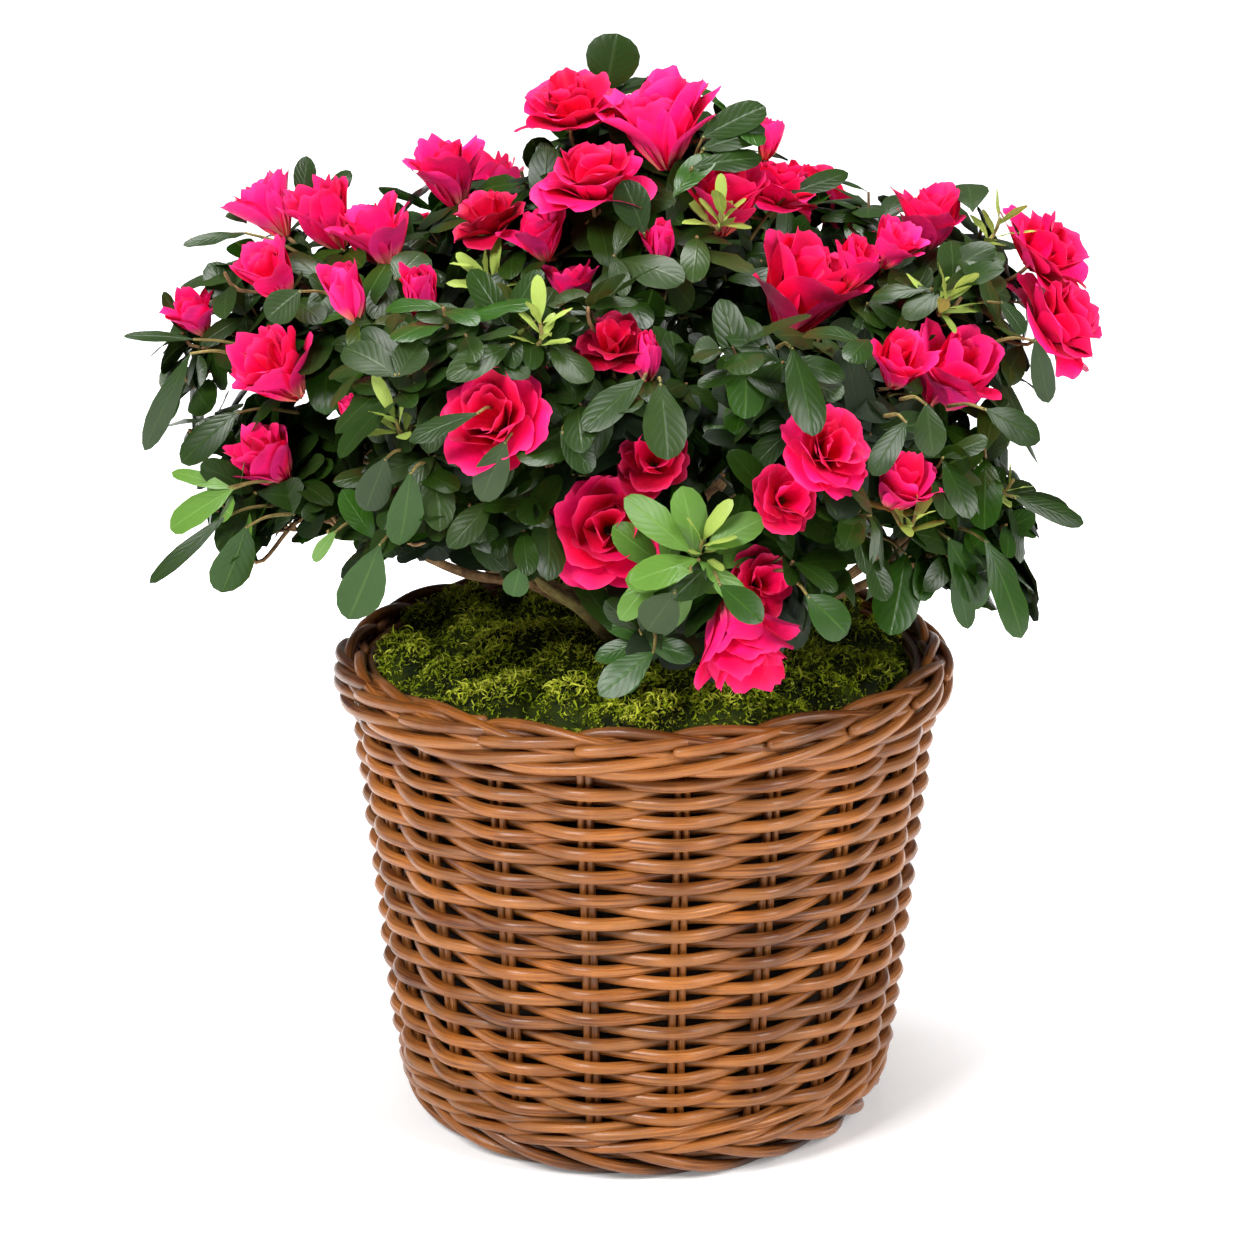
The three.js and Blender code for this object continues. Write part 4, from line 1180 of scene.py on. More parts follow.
def smoothCourse(points, count):
    # a centripetal curve through the points, cut into even steps
    points = np.asarray(points, float)
    ends = [2 * points[0] - points[1], *points, 2 * points[-1] - points[-2]]
    t = np.linspace(0, 1, 33)[:, None]
    line = []
    for a, b, c, d in zip(ends, ends[1:], ends[2:], ends[3:]):
        ab, bc, cd = [max(np.linalg.norm(q - p) ** 0.5, 1e-4) for p, q in ((a, b), (b, c), (c, d))]
        first = ((b - a) / ab - (c - a) / (ab + bc) + (c - b) / bc) * bc
        last = ((c - b) / bc - (d - b) / (bc + cd) + (d - c) / cd) * bc
        second, third = 3 * (c - b) - 2 * first - last, 2 * (b - c) + first + last
        line.append(b + first * t + second * t ** 2 + third * t ** 3)
    line = np.concatenate(line)
    far = np.concatenate([[0], np.cumsum(np.linalg.norm(np.diff(line, axis=0), axis=1))])
    even = np.linspace(0, far[-1], count + 1)
    return np.stack([np.interp(even, far, line[:, k]) for k in range(3)], -1)


def kinked(random, course, every, size):
    kinks = np.stack([wander(random, len(course), every, size) for _ in range(3)], -1)
    return course + kinks * np.sin(np.linspace(0, math.pi, len(course)))[:, None]


def radiiAlong(radii, count):
    return np.interp(np.linspace(0, 1, count), np.linspace(0, 1, len(radii)), radii)


def barkRelief(random, strength):
    every = ridge["every"]

    def relief(rings, sides):
        ridges = random.normal(0, 1, (rings // every + 3, sides))
        spot = np.arange(rings) / every
        low = spot.astype(int)
        share = (spot - low)[:, None]
        rough = ridges[low] * (1 - share) + ridges[low + 1] * share
        return 1 + strength * rough + strength * ridge["fine"] * random.normal(0, 1, (rings, sides))
    return relief


def addLimb(bars, random, course, limb, tone, kind=0):
    # kind 0 is brown bark and 1 is green
    relief = barkRelief(random, limb["relief"]) if "relief" in limb else None
    radii = radiiAlong(limb["radii"], len(course))
    sweep(bars, course, radii, limb["sides"], twigOutward, tone, kind, relief)


def roomAt(point, mass):
    # how far a point lies inside its own mass's space
    room = 1e9
    for other in masses.values():
        if other is mass:
            continue
        between = other["centre"] - mass["centre"]
        middle = (other["centre"] + mass["centre"]) / 2
        room = min(room, (middle - point) @ between / np.linalg.norm(between))
    return room


def inReach(points, margin=0.0):
    low, high = np.array(crown["reach"], float)
    return bool(((points > low - margin) & (points < high + margin)).all())


def clearOfPot(points):
    radius = np.hypot(points[:, 0], points[:, 1])
    level = np.where(radius < pot["outside"], pot["top"], 0)
    level = np.where(radius < pot["inside"], mossLevel(radius) + pot["overMoss"], level)
    return bool((points[:, 2] > level).all())


def facingAt(point, lift=0.25):
    return unit(unit(point - heart) + lift * upward)


def sideOf(axis, turn):
    flat = unit(np.cross(axis, upward) + np.array([0.003, 0.002, 0]))
    other = np.cross(axis, flat)
    return flat * math.cos(turn) + other * math.sin(turn)


def spotsRound(count, turn):
    # places spread evenly round a ball, from its top down
    for k in range(count):
        height = 1 - (2 * k + 1) / count
        flat = math.sqrt(1 - height * height)
        around = turn + k * goldenTurn
        yield np.array([flat * math.cos(around), flat * math.sin(around), height])


def tipsOf(mass, draw):
    tips = [("flower", np.array(f[:3], float), f[3], f[4]) for f in mass["flowers"]]
    tips += [("bud", np.array(b[:3], float), b[3], "bud") for b in mass["buds"]]
    tips += [("shoot", np.array(s, float), 0, "leafy") for s in mass["shoots"]]
    tips += [("young", np.array(s, float), 0, "young") for s in mass["young"]]
    tips += [("shoot", np.array(s, float), 0, "light") for s in mass.get("light", [])]
    turn = next(draw) * fullTurn
    least, more = crown["outerShare"]
    for away in spotsRound(crown["tipsPerMass"], turn):
        at = away * mass["half"] * (least + more * next(draw)) + mass["centre"]
        crowded = any(np.linalg.norm(tip[1] - at) < crown["tipSpacing"] for tip in tips)
        if not crowded and roomAt(at, mass) > crown["tipRoom"]:
            tips.append(("shoot", at, 0, "leafy"))
    # shaded sprays fill the inside: their near-black leaves are painted shade
    for away in spotsRound(crown["innerTips"], turn):
        tips.append(("shoot", mass["centre"] + away * mass["half"] * crown["innerShare"], 0, "inner"))
    return tips


# Leaves

# kind shade is the near-black finish: painted shade
leafKinds = {"mature": 0, "grey": 1, "fresh": 2, "young": 3, "light": 4, "shade": 5}

leaf = {
    "length": (28, 45), "innerLength": (34, 50), "firstShorter": 0.85,
    "shape": 0.46, "shapeRange": (0.82, 1.12),        # width as a share of length
    "rows": [0, 0.08, 0.22, 0.38, 0.55, 0.71, 0.85, 0.95, 1],
    "widths": [0.05, 0.20, 0.58, 0.85, 0.99, 0.97, 0.79, 0.48, 0.04],
    "cols": [-1, -0.55, 0, 0.55, 1],
    "pointed": (0.80, 1.25), "fold": (0.05, 0.34), "hollow": 0.22,
    "ripple": 0.035, "rippleNear": [1, 0.4, 0, 0.4, 1], "rippleShare": 0.5,
    "bend": (0.25, 0.95), "droop": 0.10, "faceUp": 0.45, "tiltScatter": 0.16, "tiltMore": 0.10,
    "spacing": (0.05, 2.2),            # between a spray's leaves: share of the twig, at most these mm
    "margin": 4,
    # tone is a middle and its scatter; leaves deeper in their mass are darkened as painted shade
    "tone": (0.62, 0.22), "paintedShadeInside": 0.9,
    # shaded ones take the near-black finish: painted shade
    "shadeFrom": 0.5,     # leaves this far inside their mass are shaded ones
    # which share of the sprays gets which kind, above and below this height
    "lowBelow": 345, "lowFresh": 0.55, "grey": 0.30, "mature": 0.88,
}

# sprays by kind: how many leaves, how far they lean away, and where the first one sits on the twig
sprayForms = {
    "leafy": {"count": (5, 7), "spread": 1.12, "first": 0.995},
    "young": {"count": (9, 9), "spread": 0.75, "first": 1.0},
    "collar": {"count": (4, 5), "spread": 1.25, "first": 0.90},
}
youngLeaf = {
    "tilt": 0.22, "tiltEach": 0.11, "scatter": 0.08, "length": (17, 28), "narrow": 0.68, "bend": (0.1, 0.7),
}


class Foliage:
    # leaves wait here as frames, and are turned into one mesh at the end
    def __init__(self):
        self.items = []

    def put(self, root, along, face, length, width, bend, kind, tone):
        self.items.append((root, along, face, length, width, bend, kind, tone))

    def gather(self, random):
        roots, alongs, faces, lengths, widths, bends, kinds, tones = [np.array(v) for v in zip(*self.items)]
        count = len(roots)
        side = unit(np.cross(alongs, faces))
        normal = unit(np.cross(side, alongs))
        lengths, halves, bends = lengths[:, None, None], (widths / 2)[:, None, None], bends[:, None, None]
        pointed = random.uniform(*leaf["pointed"], count)[:, None, None]
        t, s = np.meshgrid(leaf["rows"], leaf["cols"], indexing="ij")
        w = np.repeat(np.array(leaf["widths"])[:, None], len(leaf["cols"]), 1)[None] ** pointed
        # each blade bends down along its length, and its two halves arch over the midrib
        bow = bends * t
        forward = lengths * (np.sin(bow) / bends)
        drop = lengths * ((1 - np.cos(bow)) / bends)
        across = halves * s * w
        fold = random.uniform(*leaf["fold"], count)[:, None, None]
        arch = halves * w * np.abs(s) * fold - halves * w * (s * s) * leaf["hollow"]
        # the two edges ripple, each in its own way
        wavy = random.normal(0, leaf["ripple"], (count, len(leaf["rows"]), 2))
        ripple = wavy[..., [0, 0, 0, 1, 1]] * leaf["rippleNear"]
        raised = arch - drop + lengths * ripple * (t * (1 - t) * 4) * leaf["rippleShare"]
        points = roots[:, None, None] + alongs[:, None, None] * forward[..., None]
        points = points + side[:, None, None] * across[..., None]
        points = points + normal[:, None, None] * raised[..., None]
        corner = np.arange(t.size).reshape(t.shape)
        grid = np.stack([corner[:-1, :-1], corner[1:, :-1], corner[1:, 1:], corner[:-1, 1:]], -1)
        flow = np.stack([(s + 1) / 2, t], -1).reshape(-1, 2)
        blades = Gathered()
        blades.addSeveral(points.reshape(count, -1, 3), grid.reshape(-1, 4), flow, tones, kinds)
        return blades


# leaves that stand out on the seen side: root, tip, width and kind
standOut = [
    ([-20, 6, 548], [-14, 8, 577], 28, "mature"), ([28, -51, 535], [60, -37, 550], 17, "mature"),
    ([28, -55, 530], [61, -42, 540], 13, "mature"), ([22, -63, 522], [60, -50, 529], 13, "mature"),
    ([72, -20, 500], [105, -7, 511], 11, "mature"), ([-202, -27, 482], [-229, -51, 486], 7, "mature"),
    ([-228, -43, 430], [-262, -52, 437], 6, "mature"), ([-228, -68, 430], [-257, -71, 378], 13, "mature"),
    ([-206, -56, 396], [-237, -64, 373], 17, "mature"), ([-207, -89, 364], [-241, -86, 344], 17, "light"),
    ([-208, -89, 364], [-239, -77, 372], 9, "light"), ([-210, -93, 351], [-250, -101, 320], 9, "mature"),
    ([-200, -96, 347], [-211, -96, 309], 23, "fresh"), ([-152, -139, 356], [-166, -133, 338], 7, "light"),
    ([-129, -160, 356], [-145, -160, 314], 23, "fresh"), ([185, -91, 360], [222, -86, 347], 12, "mature"),
    ([171, -98, 340], [195, -111, 295], 20, "fresh"), ([156, -96, 329], [164, -95, 291], 12, "fresh"),
    ([152, -96, 341], [173, -95, 307], 20, "fresh"), ([132, -88, 331], [124, -119, 300], 24, "fresh"),
    ([195, -78, 439], [204, -74, 405], 13, "mature"), ([165, -136, 417], [195, -131, 401], 17, "mature"),
    ([7, -164, 437], [11, -182, 405], 22, "grey"), ([49, -151, 450], [48, -177, 425], 19, "fresh"),
    ([70, -161, 454], [83, -192, 423], 21, "mature"), ([60, -157, 452], [39, -143, 459], 21, "mature"),
    ([37, -136, 445], [24, -136, 447], 16, "grey"), ([134, -175, 430], [138, -181, 405], 16, "grey"),
    ([-125, -173, 402], [-136, -169, 372], 17, "mature"), ([-64, -152, 453], [-93, -177, 444], 16, "grey"),
    ([-46, -137, 450], [-28, -161, 441], 18, "grey"), ([0, -74, 490], [-10, -75, 517], 19, "mature"),
    ([12, -63, 465], [25, -55, 450], 18, "grey"), ([0, -164, 439], [-30, -179, 420], 18, "mature"),
    ([5, -165, 302], [-22, -175, 284], 18, "fresh"), ([78, -178, 334], [100, -177, 315], 20, "fresh"),
    ([15, -173, 335], [1, -172, 314], 21, "grey"), ([35, -177, 340], [56, -187, 325], 17, "fresh"),
    ([22, -162, 351], [-5, -176, 382], 18, "light"), ([29, -163, 353], [55, -165, 371], 17, "light"),
    ([23, -171, 344], [-10, -160, 338], 17, "light"), ([-119, -170, 441], [-145, -156, 456], 19, "grey"),
    ([-119, -170, 441], [-109, -160, 456], 17, "grey"), ([-61, -155, 342], [-65, -156, 327], 13, "fresh"),
    ([-79, -181, 426], [-114, -185, 417], 12, "mature"), ([-171, -80, 464], [-188, -85, 451], 17, "grey"),
    ([-125, -77, 468], [-113, -61, 482], 20, "mature"), ([177, -78, 458], [191, -82, 444], 11, "mature"),
    ([125, -183, 423], [107, -194, 401], 14, "mature"), ([-41, -170, 414], [-26, -183, 400], 14, "mature"),
    ([-67, -179, 412], [-80, -175, 381], 17, "grey"), ([-113, -175, 396], [-117, -173, 357], 19, "fresh"),
    ([110, -143, 344], [119, -150, 324], 13, "mature"), ([-177, 0, 492], [-173, 4, 515], 12, "mature"),
    ([-166, 0, 492], [-153, 2, 509], 11, "mature"),
]

# how a leaf that stands out is set: the numbers in brackets are a middle and its scatter, or a range
standing = {
    "clear": 0.8,                                      # radii from the centre of any blossom
    "aside": (0.12, 0.25), "front": -0.75, "up": (0.62, 0.15),
    "heart": [0, 0, 380], "pull": [0.6, 1.5, 0.45],    # its stalk comes from here
    "stalk": (34, 14, 1.5), "stalkFall": 4,
    "longer": 1.04, "bend": (0.15, 0.45), "tone": (0.15, 0.6),
}


def addStandOut(foliage, twigs, random, blossoms):
    centres, radii = blossoms
    for root, tip, width, kind in standOut:
        root, tip = np.array(root, float), np.array(tip, float)
        away = np.linalg.norm(root * 0.4 + tip * 0.6 - centres, axis=1)
        if (away < standing["clear"] * radii).any():
            continue
        along = unit(tip - root)
        aside = random.normal(*standing["aside"])
        face = np.array([aside, standing["front"], random.normal(*standing["up"])])
        face = unit(face - along * (along @ face))
        inward = unit(np.array(standing["pull"]) * (np.array(standing["heart"]) - root))
        far, near, past = standing["stalk"]
        foot = root + inward * far - upward * standing["stalkFall"]
        course = smoothCourse([foot, root + inward * near, root + along * past], limbs["stalk"]["points"])
        addLimb(twigs, random, course, limbs["stalk"], random.random(), 1)
        length = np.linalg.norm(tip - root) * standing["longer"]
        bend, tone = random.uniform(*standing["bend"]), random.uniform(*standing["tone"])
        foliage.put(root, along, face, length, width, bend, leafKinds[kind], tone)


def leafTone(random, height, spray):
    if spray in ("young", "light"):
        return leafKinds[spray]
    # the lot is drawn for inner sprays too, so that they don't shift the others' lots
    lot = random.random()
    # inner sprays take the near-black finish, painted shade
    if spray == "inner":
        return leafKinds["shade"]
    if height < leaf["lowBelow"]:
        return leafKinds["fresh" if lot < leaf["lowFresh"] else "mature"]
    return leafKinds["grey" if lot < leaf["grey"] else "mature" if lot < leaf["mature"] else "fresh"]


# where leaves would hide a blossom: ahead of it on the side where it shows, in radii
hiding = {
    "backFrom": 60, "ahead": [0, -0.957, 0.289], "aheadAtBack": [0, 0.957, 0.289],
    "from": -0.2, "to": 3.2, "beside": 0.92, "within": 0.85,
}


def hidesBlossom(points, blossoms):
    centres, radii = blossoms
    front = centres[:, 1:2] < hiding["backFrom"]
    ahead = np.where(front, np.array([hiding["ahead"]]), np.array([hiding["aheadAtBack"]]))
    off = points[:, None] - centres[None]
    forward = (off * ahead[None]).sum(-1)
    beside = np.linalg.norm(off - forward[..., None] * ahead[None], axis=-1)
    before = (forward > hiding["from"] * radii) & (forward < hiding["to"] * radii)
    within = np.linalg.norm(off, axis=-1) < hiding["within"] * radii
    return bool((within | (before & (beside < hiding["beside"] * radii))).any())


def insideMass(point, mass, share=1.0):
    if (((point - mass["centre"]) / mass["half"]) ** 2).sum() < share ** 2:
        return True
    return any(np.linalg.norm(point - tip) < crown["nearSpot"] for tip in mass["spots"])


def insideOutline(points):
    # crossings of a level line with the outline's edges tell inside from outside
    eye = np.array(stage["cameraPlace"], float)
    seen = eye + (points - eye) * (-eye[1] / (points[:, 1:2] - eye[1]))
    knots = np.array(crown["outline"], float)
    after = np.roll(knots, -1, axis=0)
    x, z = seen[:, 0, None], seen[:, 2, None]
    spans = (knots[:, 1] > z) != (after[:, 1] > z)
    rise = np.where(after[:, 1] == knots[:, 1], 1, after[:, 1] - knots[:, 1])
    left = x < knots[:, 0] + (z - knots[:, 1]) * (after[:, 0] - knots[:, 0]) / rise
    return bool(((spans & left).sum(1) % 2 == 1).all())


def addSpray(foliage, random, course, spray, blossoms, mass):
    # leaves wind round the end of a twig, each a little below the one before
    axis = unit(course[-1] - course[-3])
    young = spray == "young"
    form = sprayForms.get(spray, sprayForms["leafy"])
    least, most = form["count"]
    count = least if least == most else random.integers(least, most + 1)
    kind = leafTone(random, course[-1][2], spray)
    start = random.random() * fullTurn
    before = len(foliage.items)
    widest, apart = leaf["spacing"]
    spacing = min(widest, apart / max(np.linalg.norm(course[-1] - course[0]), 1))
    for k in range(count):
        spot = (form["first"] - k * spacing) * (len(course) - 1)
        low = min(int(spot), len(course) - 2)
        root = course[low] + (course[low + 1] - course[low]) * (spot - low)
        out = sideOf(axis, start + k * goldenTurn)
        tilt = form["spread"] + random.normal(0, leaf["tiltScatter"]) + (leaf["tiltMore"] * k / count)
        if young:
            tilt = youngLeaf["tilt"] + youngLeaf["tiltEach"] * k + random.normal(0, youngLeaf["scatter"])
        along = unit(axis * math.cos(tilt) + out * math.sin(tilt) - leaf["droop"] * upward)
        face = unit(axis * math.sin(tilt) - out * math.cos(tilt) + leaf["faceUp"] * upward)
        size = random.uniform(*leaf["innerLength" if spray == "inner" else "length"])
        size = size * (1 if k > 1 else leaf["firstShorter"])
        if young:
            size = random.uniform(*youngLeaf["length"])
        width = size * leaf["shape"] * random.uniform(*leaf["shapeRange"])
        width = width * (youngLeaf["narrow"] if young else 1)
        bend = random.uniform(*(youngLeaf if young else leaf)["bend"])
        tip = root + along * size * 0.95 - face * size * 0.25
        middle = root + along * size * 0.5
        probes = np.stack([middle, tip])
        if not inReach(probes, leaf["margin"]) or not clearOfPot(probes):
            continue
        if spray not in ("young", "light") and hidesBlossom(probes, blossoms):
            continue
        if not insideMass(tip, mass) or not insideOutline(probes):
            continue
        depth = 1 - np.linalg.norm((middle - mass["centre"]) / mass["half"])
        # the deeper a leaf lies in its mass, the darker its tone: painted shade
        tone = np.clip(random.normal(*leaf["tone"]) - leaf["paintedShadeInside"] * max(depth, 0), 0, 1)
        # leaves deep inside a mass take the near-black finish too: painted shade
        shaded = depth > leaf["shadeFrom"] and spray in ("leafy", "side", "collar")
        foliage.put(root, along, face, size, width, bend, leafKinds["shade"] if shaded else kind, tone)
    return len(foliage.items) - before


# Blossoms

# each ring of petals: how many, length, width and wrap as shares of the radius, lean at the
# root and at the end in degrees, crumple, and the kind of petal
# kind 1, on the inner rings, is the darker copy: painted shade
blossomForms = {
    "open": [
        (5, 1.14, 1.40, 1.45, 62, 104, 0.10, 0), (5, 1.22, 1.28, 1.10, 44, 76, 0.13, 0),
        (5, 1.22, 1.12, 0.85, 27, 50, 0.16, 1), (4, 1.16, 0.92, 0.58, 12, 26, 0.19, 1),
    ],
    "fan": [
        (6, 1.85, 1.26, 1.02, 27, 44, 0.10, 3), (4, 2.00, 1.26, 0.90, 20, 34, 0.12, 0),
        (4, 1.95, 1.12, 0.70, 12, 22, 0.14, 0), (3, 1.80, 0.90, 0.50, 5, 10, 0.16, 1),
    ],
    # the shade form's outer petals take kind 2, the darker copy: painted shade
    "shade": [
        (5, 1.12, 1.36, 1.25, 60, 98, 0.11, 2), (5, 1.20, 1.18, 0.95, 38, 64, 0.14, 2),
        (4, 1.20, 0.98, 0.70, 16, 34, 0.17, 1),
    ],
    "half": [
        (6, 1.90, 1.22, 0.88, 27, 32, 0.08, 3), (4, 1.95, 1.22, 0.72, 20, 22, 0.11, 0),
        (3, 1.80, 0.98, 0.52, 10, 12, 0.13, 1),
    ],
    "bud": [
        (4, 2.25, 1.50, 0.62, 26, -12, 0.04, 3), (4, 2.15, 1.40, 0.50, 18, -12, 0.05, 0),
        (3, 1.90, 1.00, 0.32, 8, -4, 0.05, 1),
    ],
}
# where the root lies behind a blossom's centre, in radii, and the scales round it with their length
blossomBacks = {
    "open": (0.42, 5, 7), "fan": (1.0, 7, 11), "shade": (0.42, 4, 6), "half": (1.0, 7, 10),
    "bud": (1.05, 7, 10),
}
# Sizes are shares of the blossom's radius; ranges are shares of the ring's own size.
petal = {
    "rows": 11, "cols": 8, "widest": 0.52, "rootWidth": 0.24, "notch": 0.05, "flowAcross": 3,
    "lengthRange": (0.88, 1.10), "widthRange": (0.88, 1.12), "wrapRange": (0.85, 1.25),
    "leanScatter": 6, "turnScatter": 12,           # degrees
    "rootOut": 0.06, "mostWrap": 2.4, "trim": 0.955,
    "ringStart": (0.6, 0.4), "placeScatter": 0.20, "toneScatter": 0.18,
}
# small green scales that hold the back of a blossom
scale = {"tilt": 0.55, "scatter": 0.12, "behind": 1.5, "range": (0.8, 1.2), "shape": 0.45, "bend": -0.5}


def petalSheet():
    # places along and across a petal, how wide it is there, and how far along it reaches:
    # it widens from its root and ends in half an ellipse
    along = 1 - (1 - np.linspace(0, 1, petal["rows"] + 1)) ** 1.25
    along, aside = np.meshgrid(along, np.linspace(-1, 1, petal["cols"] + 1), indexing="ij")
    widest = petal["widest"]
    past = np.clip((along - widest) / (1 - widest), 0, 1)
    outline = np.sin(np.minimum(along / widest, 1) * math.pi / 2) ** 1.1
    outline = petal["rootWidth"] + (1 - petal["rootWidth"]) * outline
    reach = np.minimum(along, widest) + (1 - widest) * past * np.sqrt(1 - aside ** 2 / 2)
    reach = reach * (1 - petal["notch"] * past ** 2 * np.exp(-(aside / 0.2) ** 2))
    return along, aside, outline * np.sqrt(1 - past ** 2 / 2), reach


sheetAlong, sheetAside, sheetOutline, sheetReach = petalSheet()


def shapePetal(random, radius, ring):
    # places outward, sideways and forward of the blossom's root
    long, wide, wrap, leanRoot, leanEnd, crumple = ring[1:-1]
    size = radius * long * random.uniform(*petal["lengthRange"])
    broad = radius * wide * random.uniform(*petal["widthRange"])
    curl = radius * wrap * random.uniform(*petal["wrapRange"])
    along = sheetAlong[:, 0]
    turning = leanEnd - leanRoot + random.normal(0, petal["turnScatter"])
    lean = np.radians(leanRoot + random.normal(0, petal["leanScatter"]) + turning * along ** 1.3)
    step = np.diff(along, prepend=0) * size
    far = petal["rootOut"] * radius + np.cumsum(np.sin(lean) * step)
    rise = np.cumsum(np.cos(lean) * step)
    # waves of several widths, each petal's at its own phases, make the ragged end and the ruffles
    phase = random.random(5) * fullTurn
    ragged = 0.028 * np.sin(sheetAside * 5 + phase[0]) + 0.012 * np.sin(sheetAside * 11 + phase[1])
    reach = sheetReach * (petal["trim"] + ragged * sheetAlong ** 3)
    angle = np.clip(sheetAside * sheetOutline * broad / 2 / curl, -petal["mostWrap"], petal["mostWrap"])
    inward = curl * (1 - np.cos(angle))
    slow = 0.55 * np.sin(sheetAside * 2.6 + phase[2] + sheetAlong * 2)
    slow += 0.18 * np.sin(sheetAlong * 7 + phase[1]) * np.abs(sheetAside)
    quick = 0.22 * np.sin(sheetAside * 4.6 + phase[3] - sheetAlong * 2)
    inward = inward + crumple * radius * (slow * sheetAlong ** 1.3 + quick * sheetAlong ** 2.8)
    outward = np.interp(reach, along, far) - inward * np.cos(lean)[:, None]
    forward = np.interp(reach, along, rise) + inward * np.sin(lean)[:, None]
    return outward, curl * np.sin(angle), forward


def addBlossom(petals, leaves, random, centre, facing, radius, form, tone):
    first = sideOf(facing, random.random() * fullTurn)
    second = np.cross(facing, first)
    back, scales, scaleLength = blossomBacks[form]
    root = centre - facing * radius * back
    corner = np.arange(sheetAlong.size).reshape(sheetAlong.shape)
    flow = np.stack([(sheetAside + 1) / 2 * petal["flowAcross"], sheetAlong], -1).reshape(-1, 2)
    points, tones, kinds = [], [], []
    each, more = petal["ringStart"]
    for number, ring in enumerate(blossomForms[form]):
        start = number * each + random.random() * more
        for k in range(ring[0]):
            outward, sideways, forward = shapePetal(random, radius, ring)
            turn = start + k * fullTurn / ring[0] + random.normal(0, petal["placeScatter"])
            outDirection = first * math.cos(turn) + second * math.sin(turn)
            sideDirection = np.cross(facing, outDirection)
            place = outward[..., None] * outDirection + sideways[..., None] * sideDirection
            points.append((root + place + forward[..., None] * facing).reshape(-1, 3))
            tones.append(np.clip(tone + random.normal(0, petal["toneScatter"]), 0, 1))
            kinds.append(ring[-1])
    grid = cells(corner[:, :-1], corner[:, 1:])
    petals.addSeveral(np.stack(points), grid, flow, np.array(tones), np.array(kinds))
    for k in range(scales):
        out = first * math.cos(k * goldenTurn) + second * math.sin(k * goldenTurn)
        tilt = scale["tilt"] + random.normal(0, scale["scatter"])
        along = unit(facing * math.cos(tilt) + out * math.sin(tilt))
        face = unit(facing * math.sin(tilt) - out * math.cos(tilt))
        length = scaleLength * random.uniform(*scale["range"])
        leaves.put(root - facing * scale["behind"], along, face, length, scaleLength * scale["shape"],
                   scale["bend"], leafKinds["young"], random.random())


# Growth

# short shoots that leave a twig by turns
sideShoot = {
    "every": 26, "from": 0.14, "over": 0.80, "tilt": (0.55, 1.0), "up": 0.65, "outward": 0.35,
    "length": (20, 40), "shorter": 0.35, "scatter": 1.2, "sag": 1.5, "greenShare": 0.4,
    "margin": 14, "within": 0.92,
}


def growTrunk(wood, random):
    limb = limbs["trunk"]
    course = smoothCourse(crown["trunkCourse"], limb["points"])
    radii = radiiAlong(crown["trunkRadii"], len(course)) * limb["shrink"]
    relief = barkRelief(random, limb["relief"])
    sweep(wood, course, radii, limb["sides"], [0, -1, 0], limb["tone"], 0, relief, caps=False)
    return course


def growLowStems(wood, random):
    for knots, radii, kind in crown["lowStems"]:
        limb = limbs["lowStem"] | {"radii": radii}
        course = kinked(random, smoothCourse(knots, limb["points"]), *limb["kinks"])
        addLimb(wood, random, course, limb, random.random(), kind)


def growBough(wood, random, mass, trunk):
    limb = limbs["bough"]
    foot, top = crown["trunkFoot"], crown["trunkTop"]
    share = min(max((mass["forkAt"] - foot) / (top - foot), 0), crown["highestBough"])
    start = trunk[int(round(share * (len(trunk) - 1)))]
    bend = np.array(mass["bend"], float)
    end = bend + (mass["centre"] - bend) * crown["boughShare"]
    course = kinked(random, smoothCourse([start, bend, end], limb["points"]), *limb["kinks"])
    addLimb(wood, random, course, limb, random.random())
    return course


def growMass(mass, bough, bits, random):
    draw = drawsFrom(mass["seed"])
    root = bough[-1]
    stemEnd = mass["centre"] + (root - mass["centre"]) * -crown["stemPast"]
    stemMiddle = (root + stemEnd) / 2 + upward * crown["stemRise"]
    stem = smoothCourse([root, stemMiddle, stemEnd], limbs["stem"]["points"])
    addLimb(bits["twigs"], random, stem, limbs["stem"], random.random())
    tips = tipsOf(mass, draw)
    for i, (kind, at, radius, form) in enumerate(tips):
        facing = unit(facingAt(at, crown["lift"][form]) + random.normal(0, crown["facingScatter"], 3))
        if tuple(at) in hanging:
            facing = unit(hanging[tuple(at)])
        end = at - facing * crown["blossomSink"] * radius
        # a twig leaves the stem by turns along it
        share = crown["twigsFrom"] + crown["twigsOver"] * (i + 0.5) / len(tips)
        start = stem[int(share * (len(stem) - 1))]
        middle = (start + end) / 2 + upward * crown["twigRise"] * np.linalg.norm(end - start)
        middle = middle + random.normal(0, crown["twigScatter"], 3)
        course = smoothCourse([start, middle, end - facing * crown["neck"], end], limbs["twig"]["points"])
        spray = form if kind in ("young", "shoot") else "collar"
        leaves = addSpray(bits["foliage"], random, course, spray, bits["blossoms"], mass)
        if kind in ("flower", "bud"):
            addBlossom(bits["petals"], bits["foliage"], random, at, facing, radius, form, random.random())
        elif leaves < crown["fewestLeaves"]:
            continue
        addLimb(bits["twigs"], random, course, limbs["twig"], random.random(), int(kind == "young"))
        growSideShoots(mass, course, bits, random)


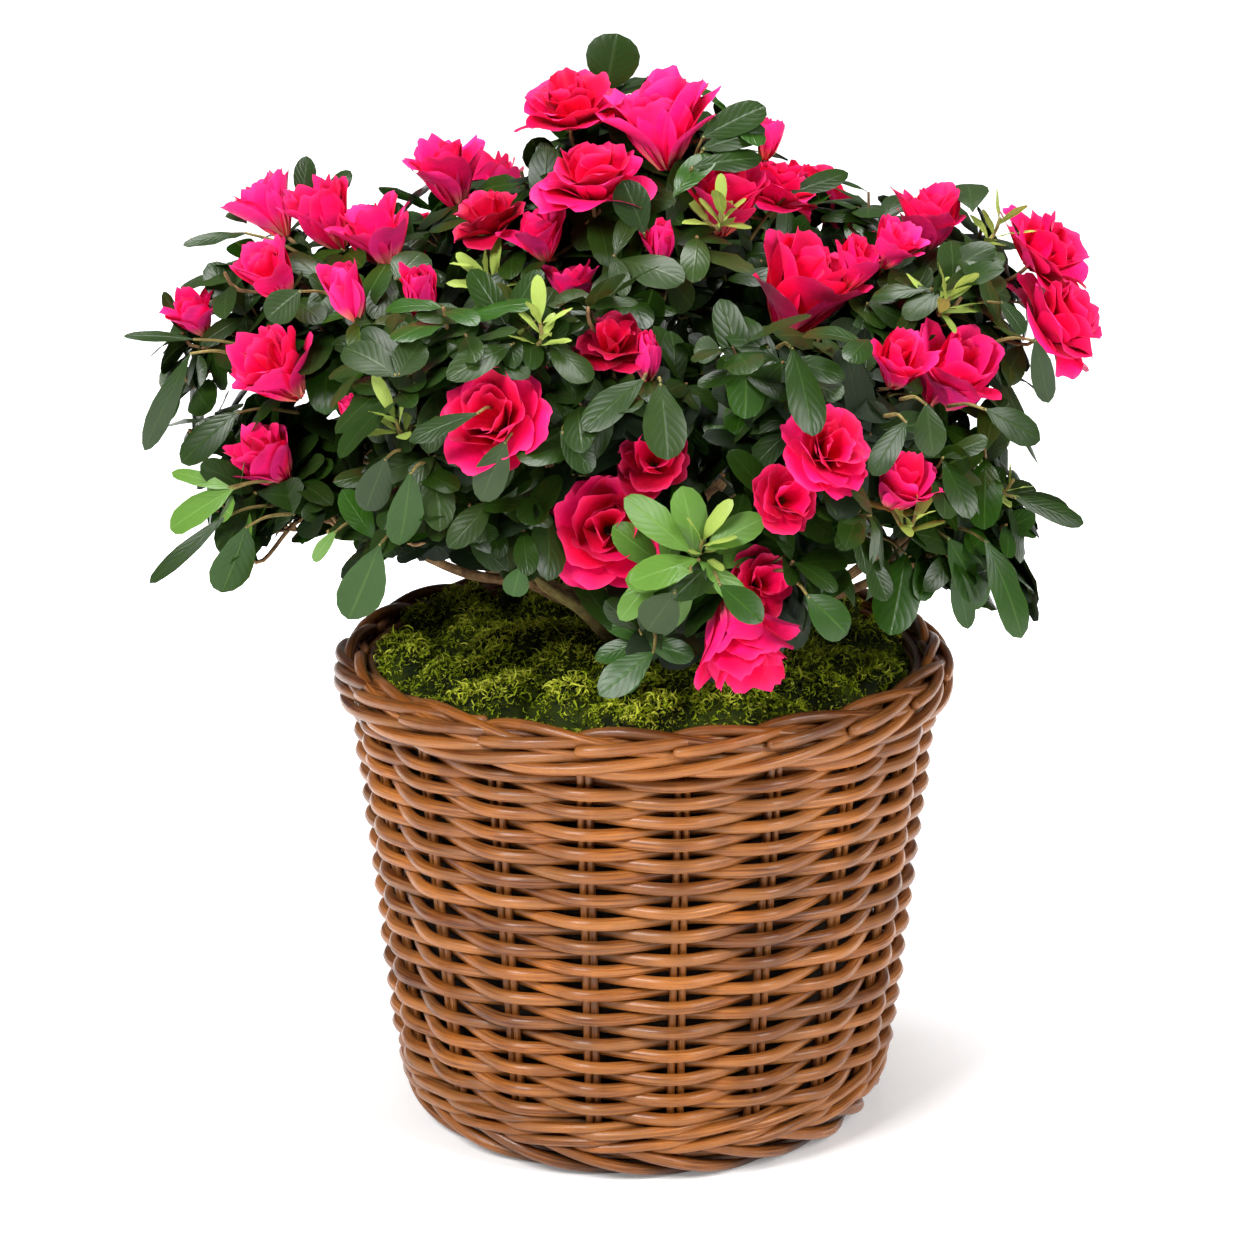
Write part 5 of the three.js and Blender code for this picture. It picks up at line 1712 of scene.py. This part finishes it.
def growSideShoots(mass, course, bits, random):
    length = np.linalg.norm(np.diff(course, axis=0), axis=1).sum()
    count = int(length / sideShoot["every"])
    margin = sideShoot["margin"]
    for j in range(count):
        share = sideShoot["from"] + sideShoot["over"] * (j + random.random()) / max(count, 1)
        low = int(share * (len(course) - 2))
        start = course[low]
        axis = unit(course[low + 1] - course[low])
        out = sideOf(axis, j * goldenTurn + random.random())
        tilt = random.uniform(*sideShoot["tilt"])
        way = axis * math.cos(tilt) + out * math.sin(tilt)
        way = unit(way + sideShoot["up"] * upward + sideShoot["outward"] * facingAt(start))
        end = start + way * (random.uniform(*sideShoot["length"]) * (1 - sideShoot["shorter"] * share))
        if roomAt(end, mass) < -margin or not inReach(end[None], -margin):
            continue
        if not clearOfPot(end[None] - margin * upward) or hidesBlossom(end[None], bits["blossoms"]):
            continue
        if not insideMass(end, mass, sideShoot["within"]) or not insideOutline(end[None]):
            continue
        middle = (start + end) / 2 + random.normal(0, sideShoot["scatter"], 3) - out * sideShoot["sag"]
        side = smoothCourse([start, middle, end], limbs["side"]["points"])
        if addSpray(bits["foliage"], random, side, "side", bits["blossoms"], mass) > 1:
            tone = random.random()
            green = random.random() < sideShoot["greenShare"]
            addLimb(bits["twigs"], random, side, limbs["side"], tone, int(green))


regions = {
    "top": ["crown_top", "upper_left", "upper_right"],
    "front": ["front_left", "front_middle", "front_right", "low_left", "low_right"],
    "sides": ["side_left", "side_right"],
    "back": ["back_left", "back_right", "back_low_left", "back_low_right"],
}


def blossomSpots():
    # centres and radii of all that leaves have to leave in sight
    spots = flowers + [bud for mass in masses.values() for bud in mass["buds"]]
    spots += [spot + [crown["youngRadius"]] for mass in masses.values() for spot in mass["young"]]
    return np.array([spot[:3] for spot in spots], float), np.array([spot[3] for spot in spots], float)


def makePlant():
    random = np.random.default_rng(crown["seed"])
    wood = Gathered()
    trunk = growTrunk(wood, random)
    growLowStems(wood, random)
    boughs = {name: growBough(wood, random, mass, trunk) for name, mass in masses.items()}
    barks = [barkMaterial("bark"), barkMaterial("greenTwig")]
    makePiece("trunk_and_boughs", wood, barks, ["trunk"] + ["bough_" + name for name in masses])

    leafShades = [leafMaterial(name) for name in leafFinish["shades"]]
    petalShades = [petalMaterial(name) for name in petalFinish["shades"]]
    blossoms = blossomSpots()
    for region, names in regions.items():
        bits = {"twigs": Gathered(), "petals": Gathered(), "foliage": Foliage(), "blossoms": blossoms}
        for name in names:
            growMass(masses[name], boughs[name], bits, random)
        if region == "front":
            addStandOut(bits["foliage"], bits["twigs"], random, blossoms)
        leaves = bits["foliage"].gather(random)
        nodes = ["foliage_" + name for name in names]
        makePiece("twigs_" + region, bits["twigs"], barks)
        makePiece("blossom_" + region, bits["petals"], petalShades)
        makePiece("leaves_" + region, leaves, leafShades, nodes)
        print(region, "has", len(bits["foliage"].items), "leaves")


makePlant()
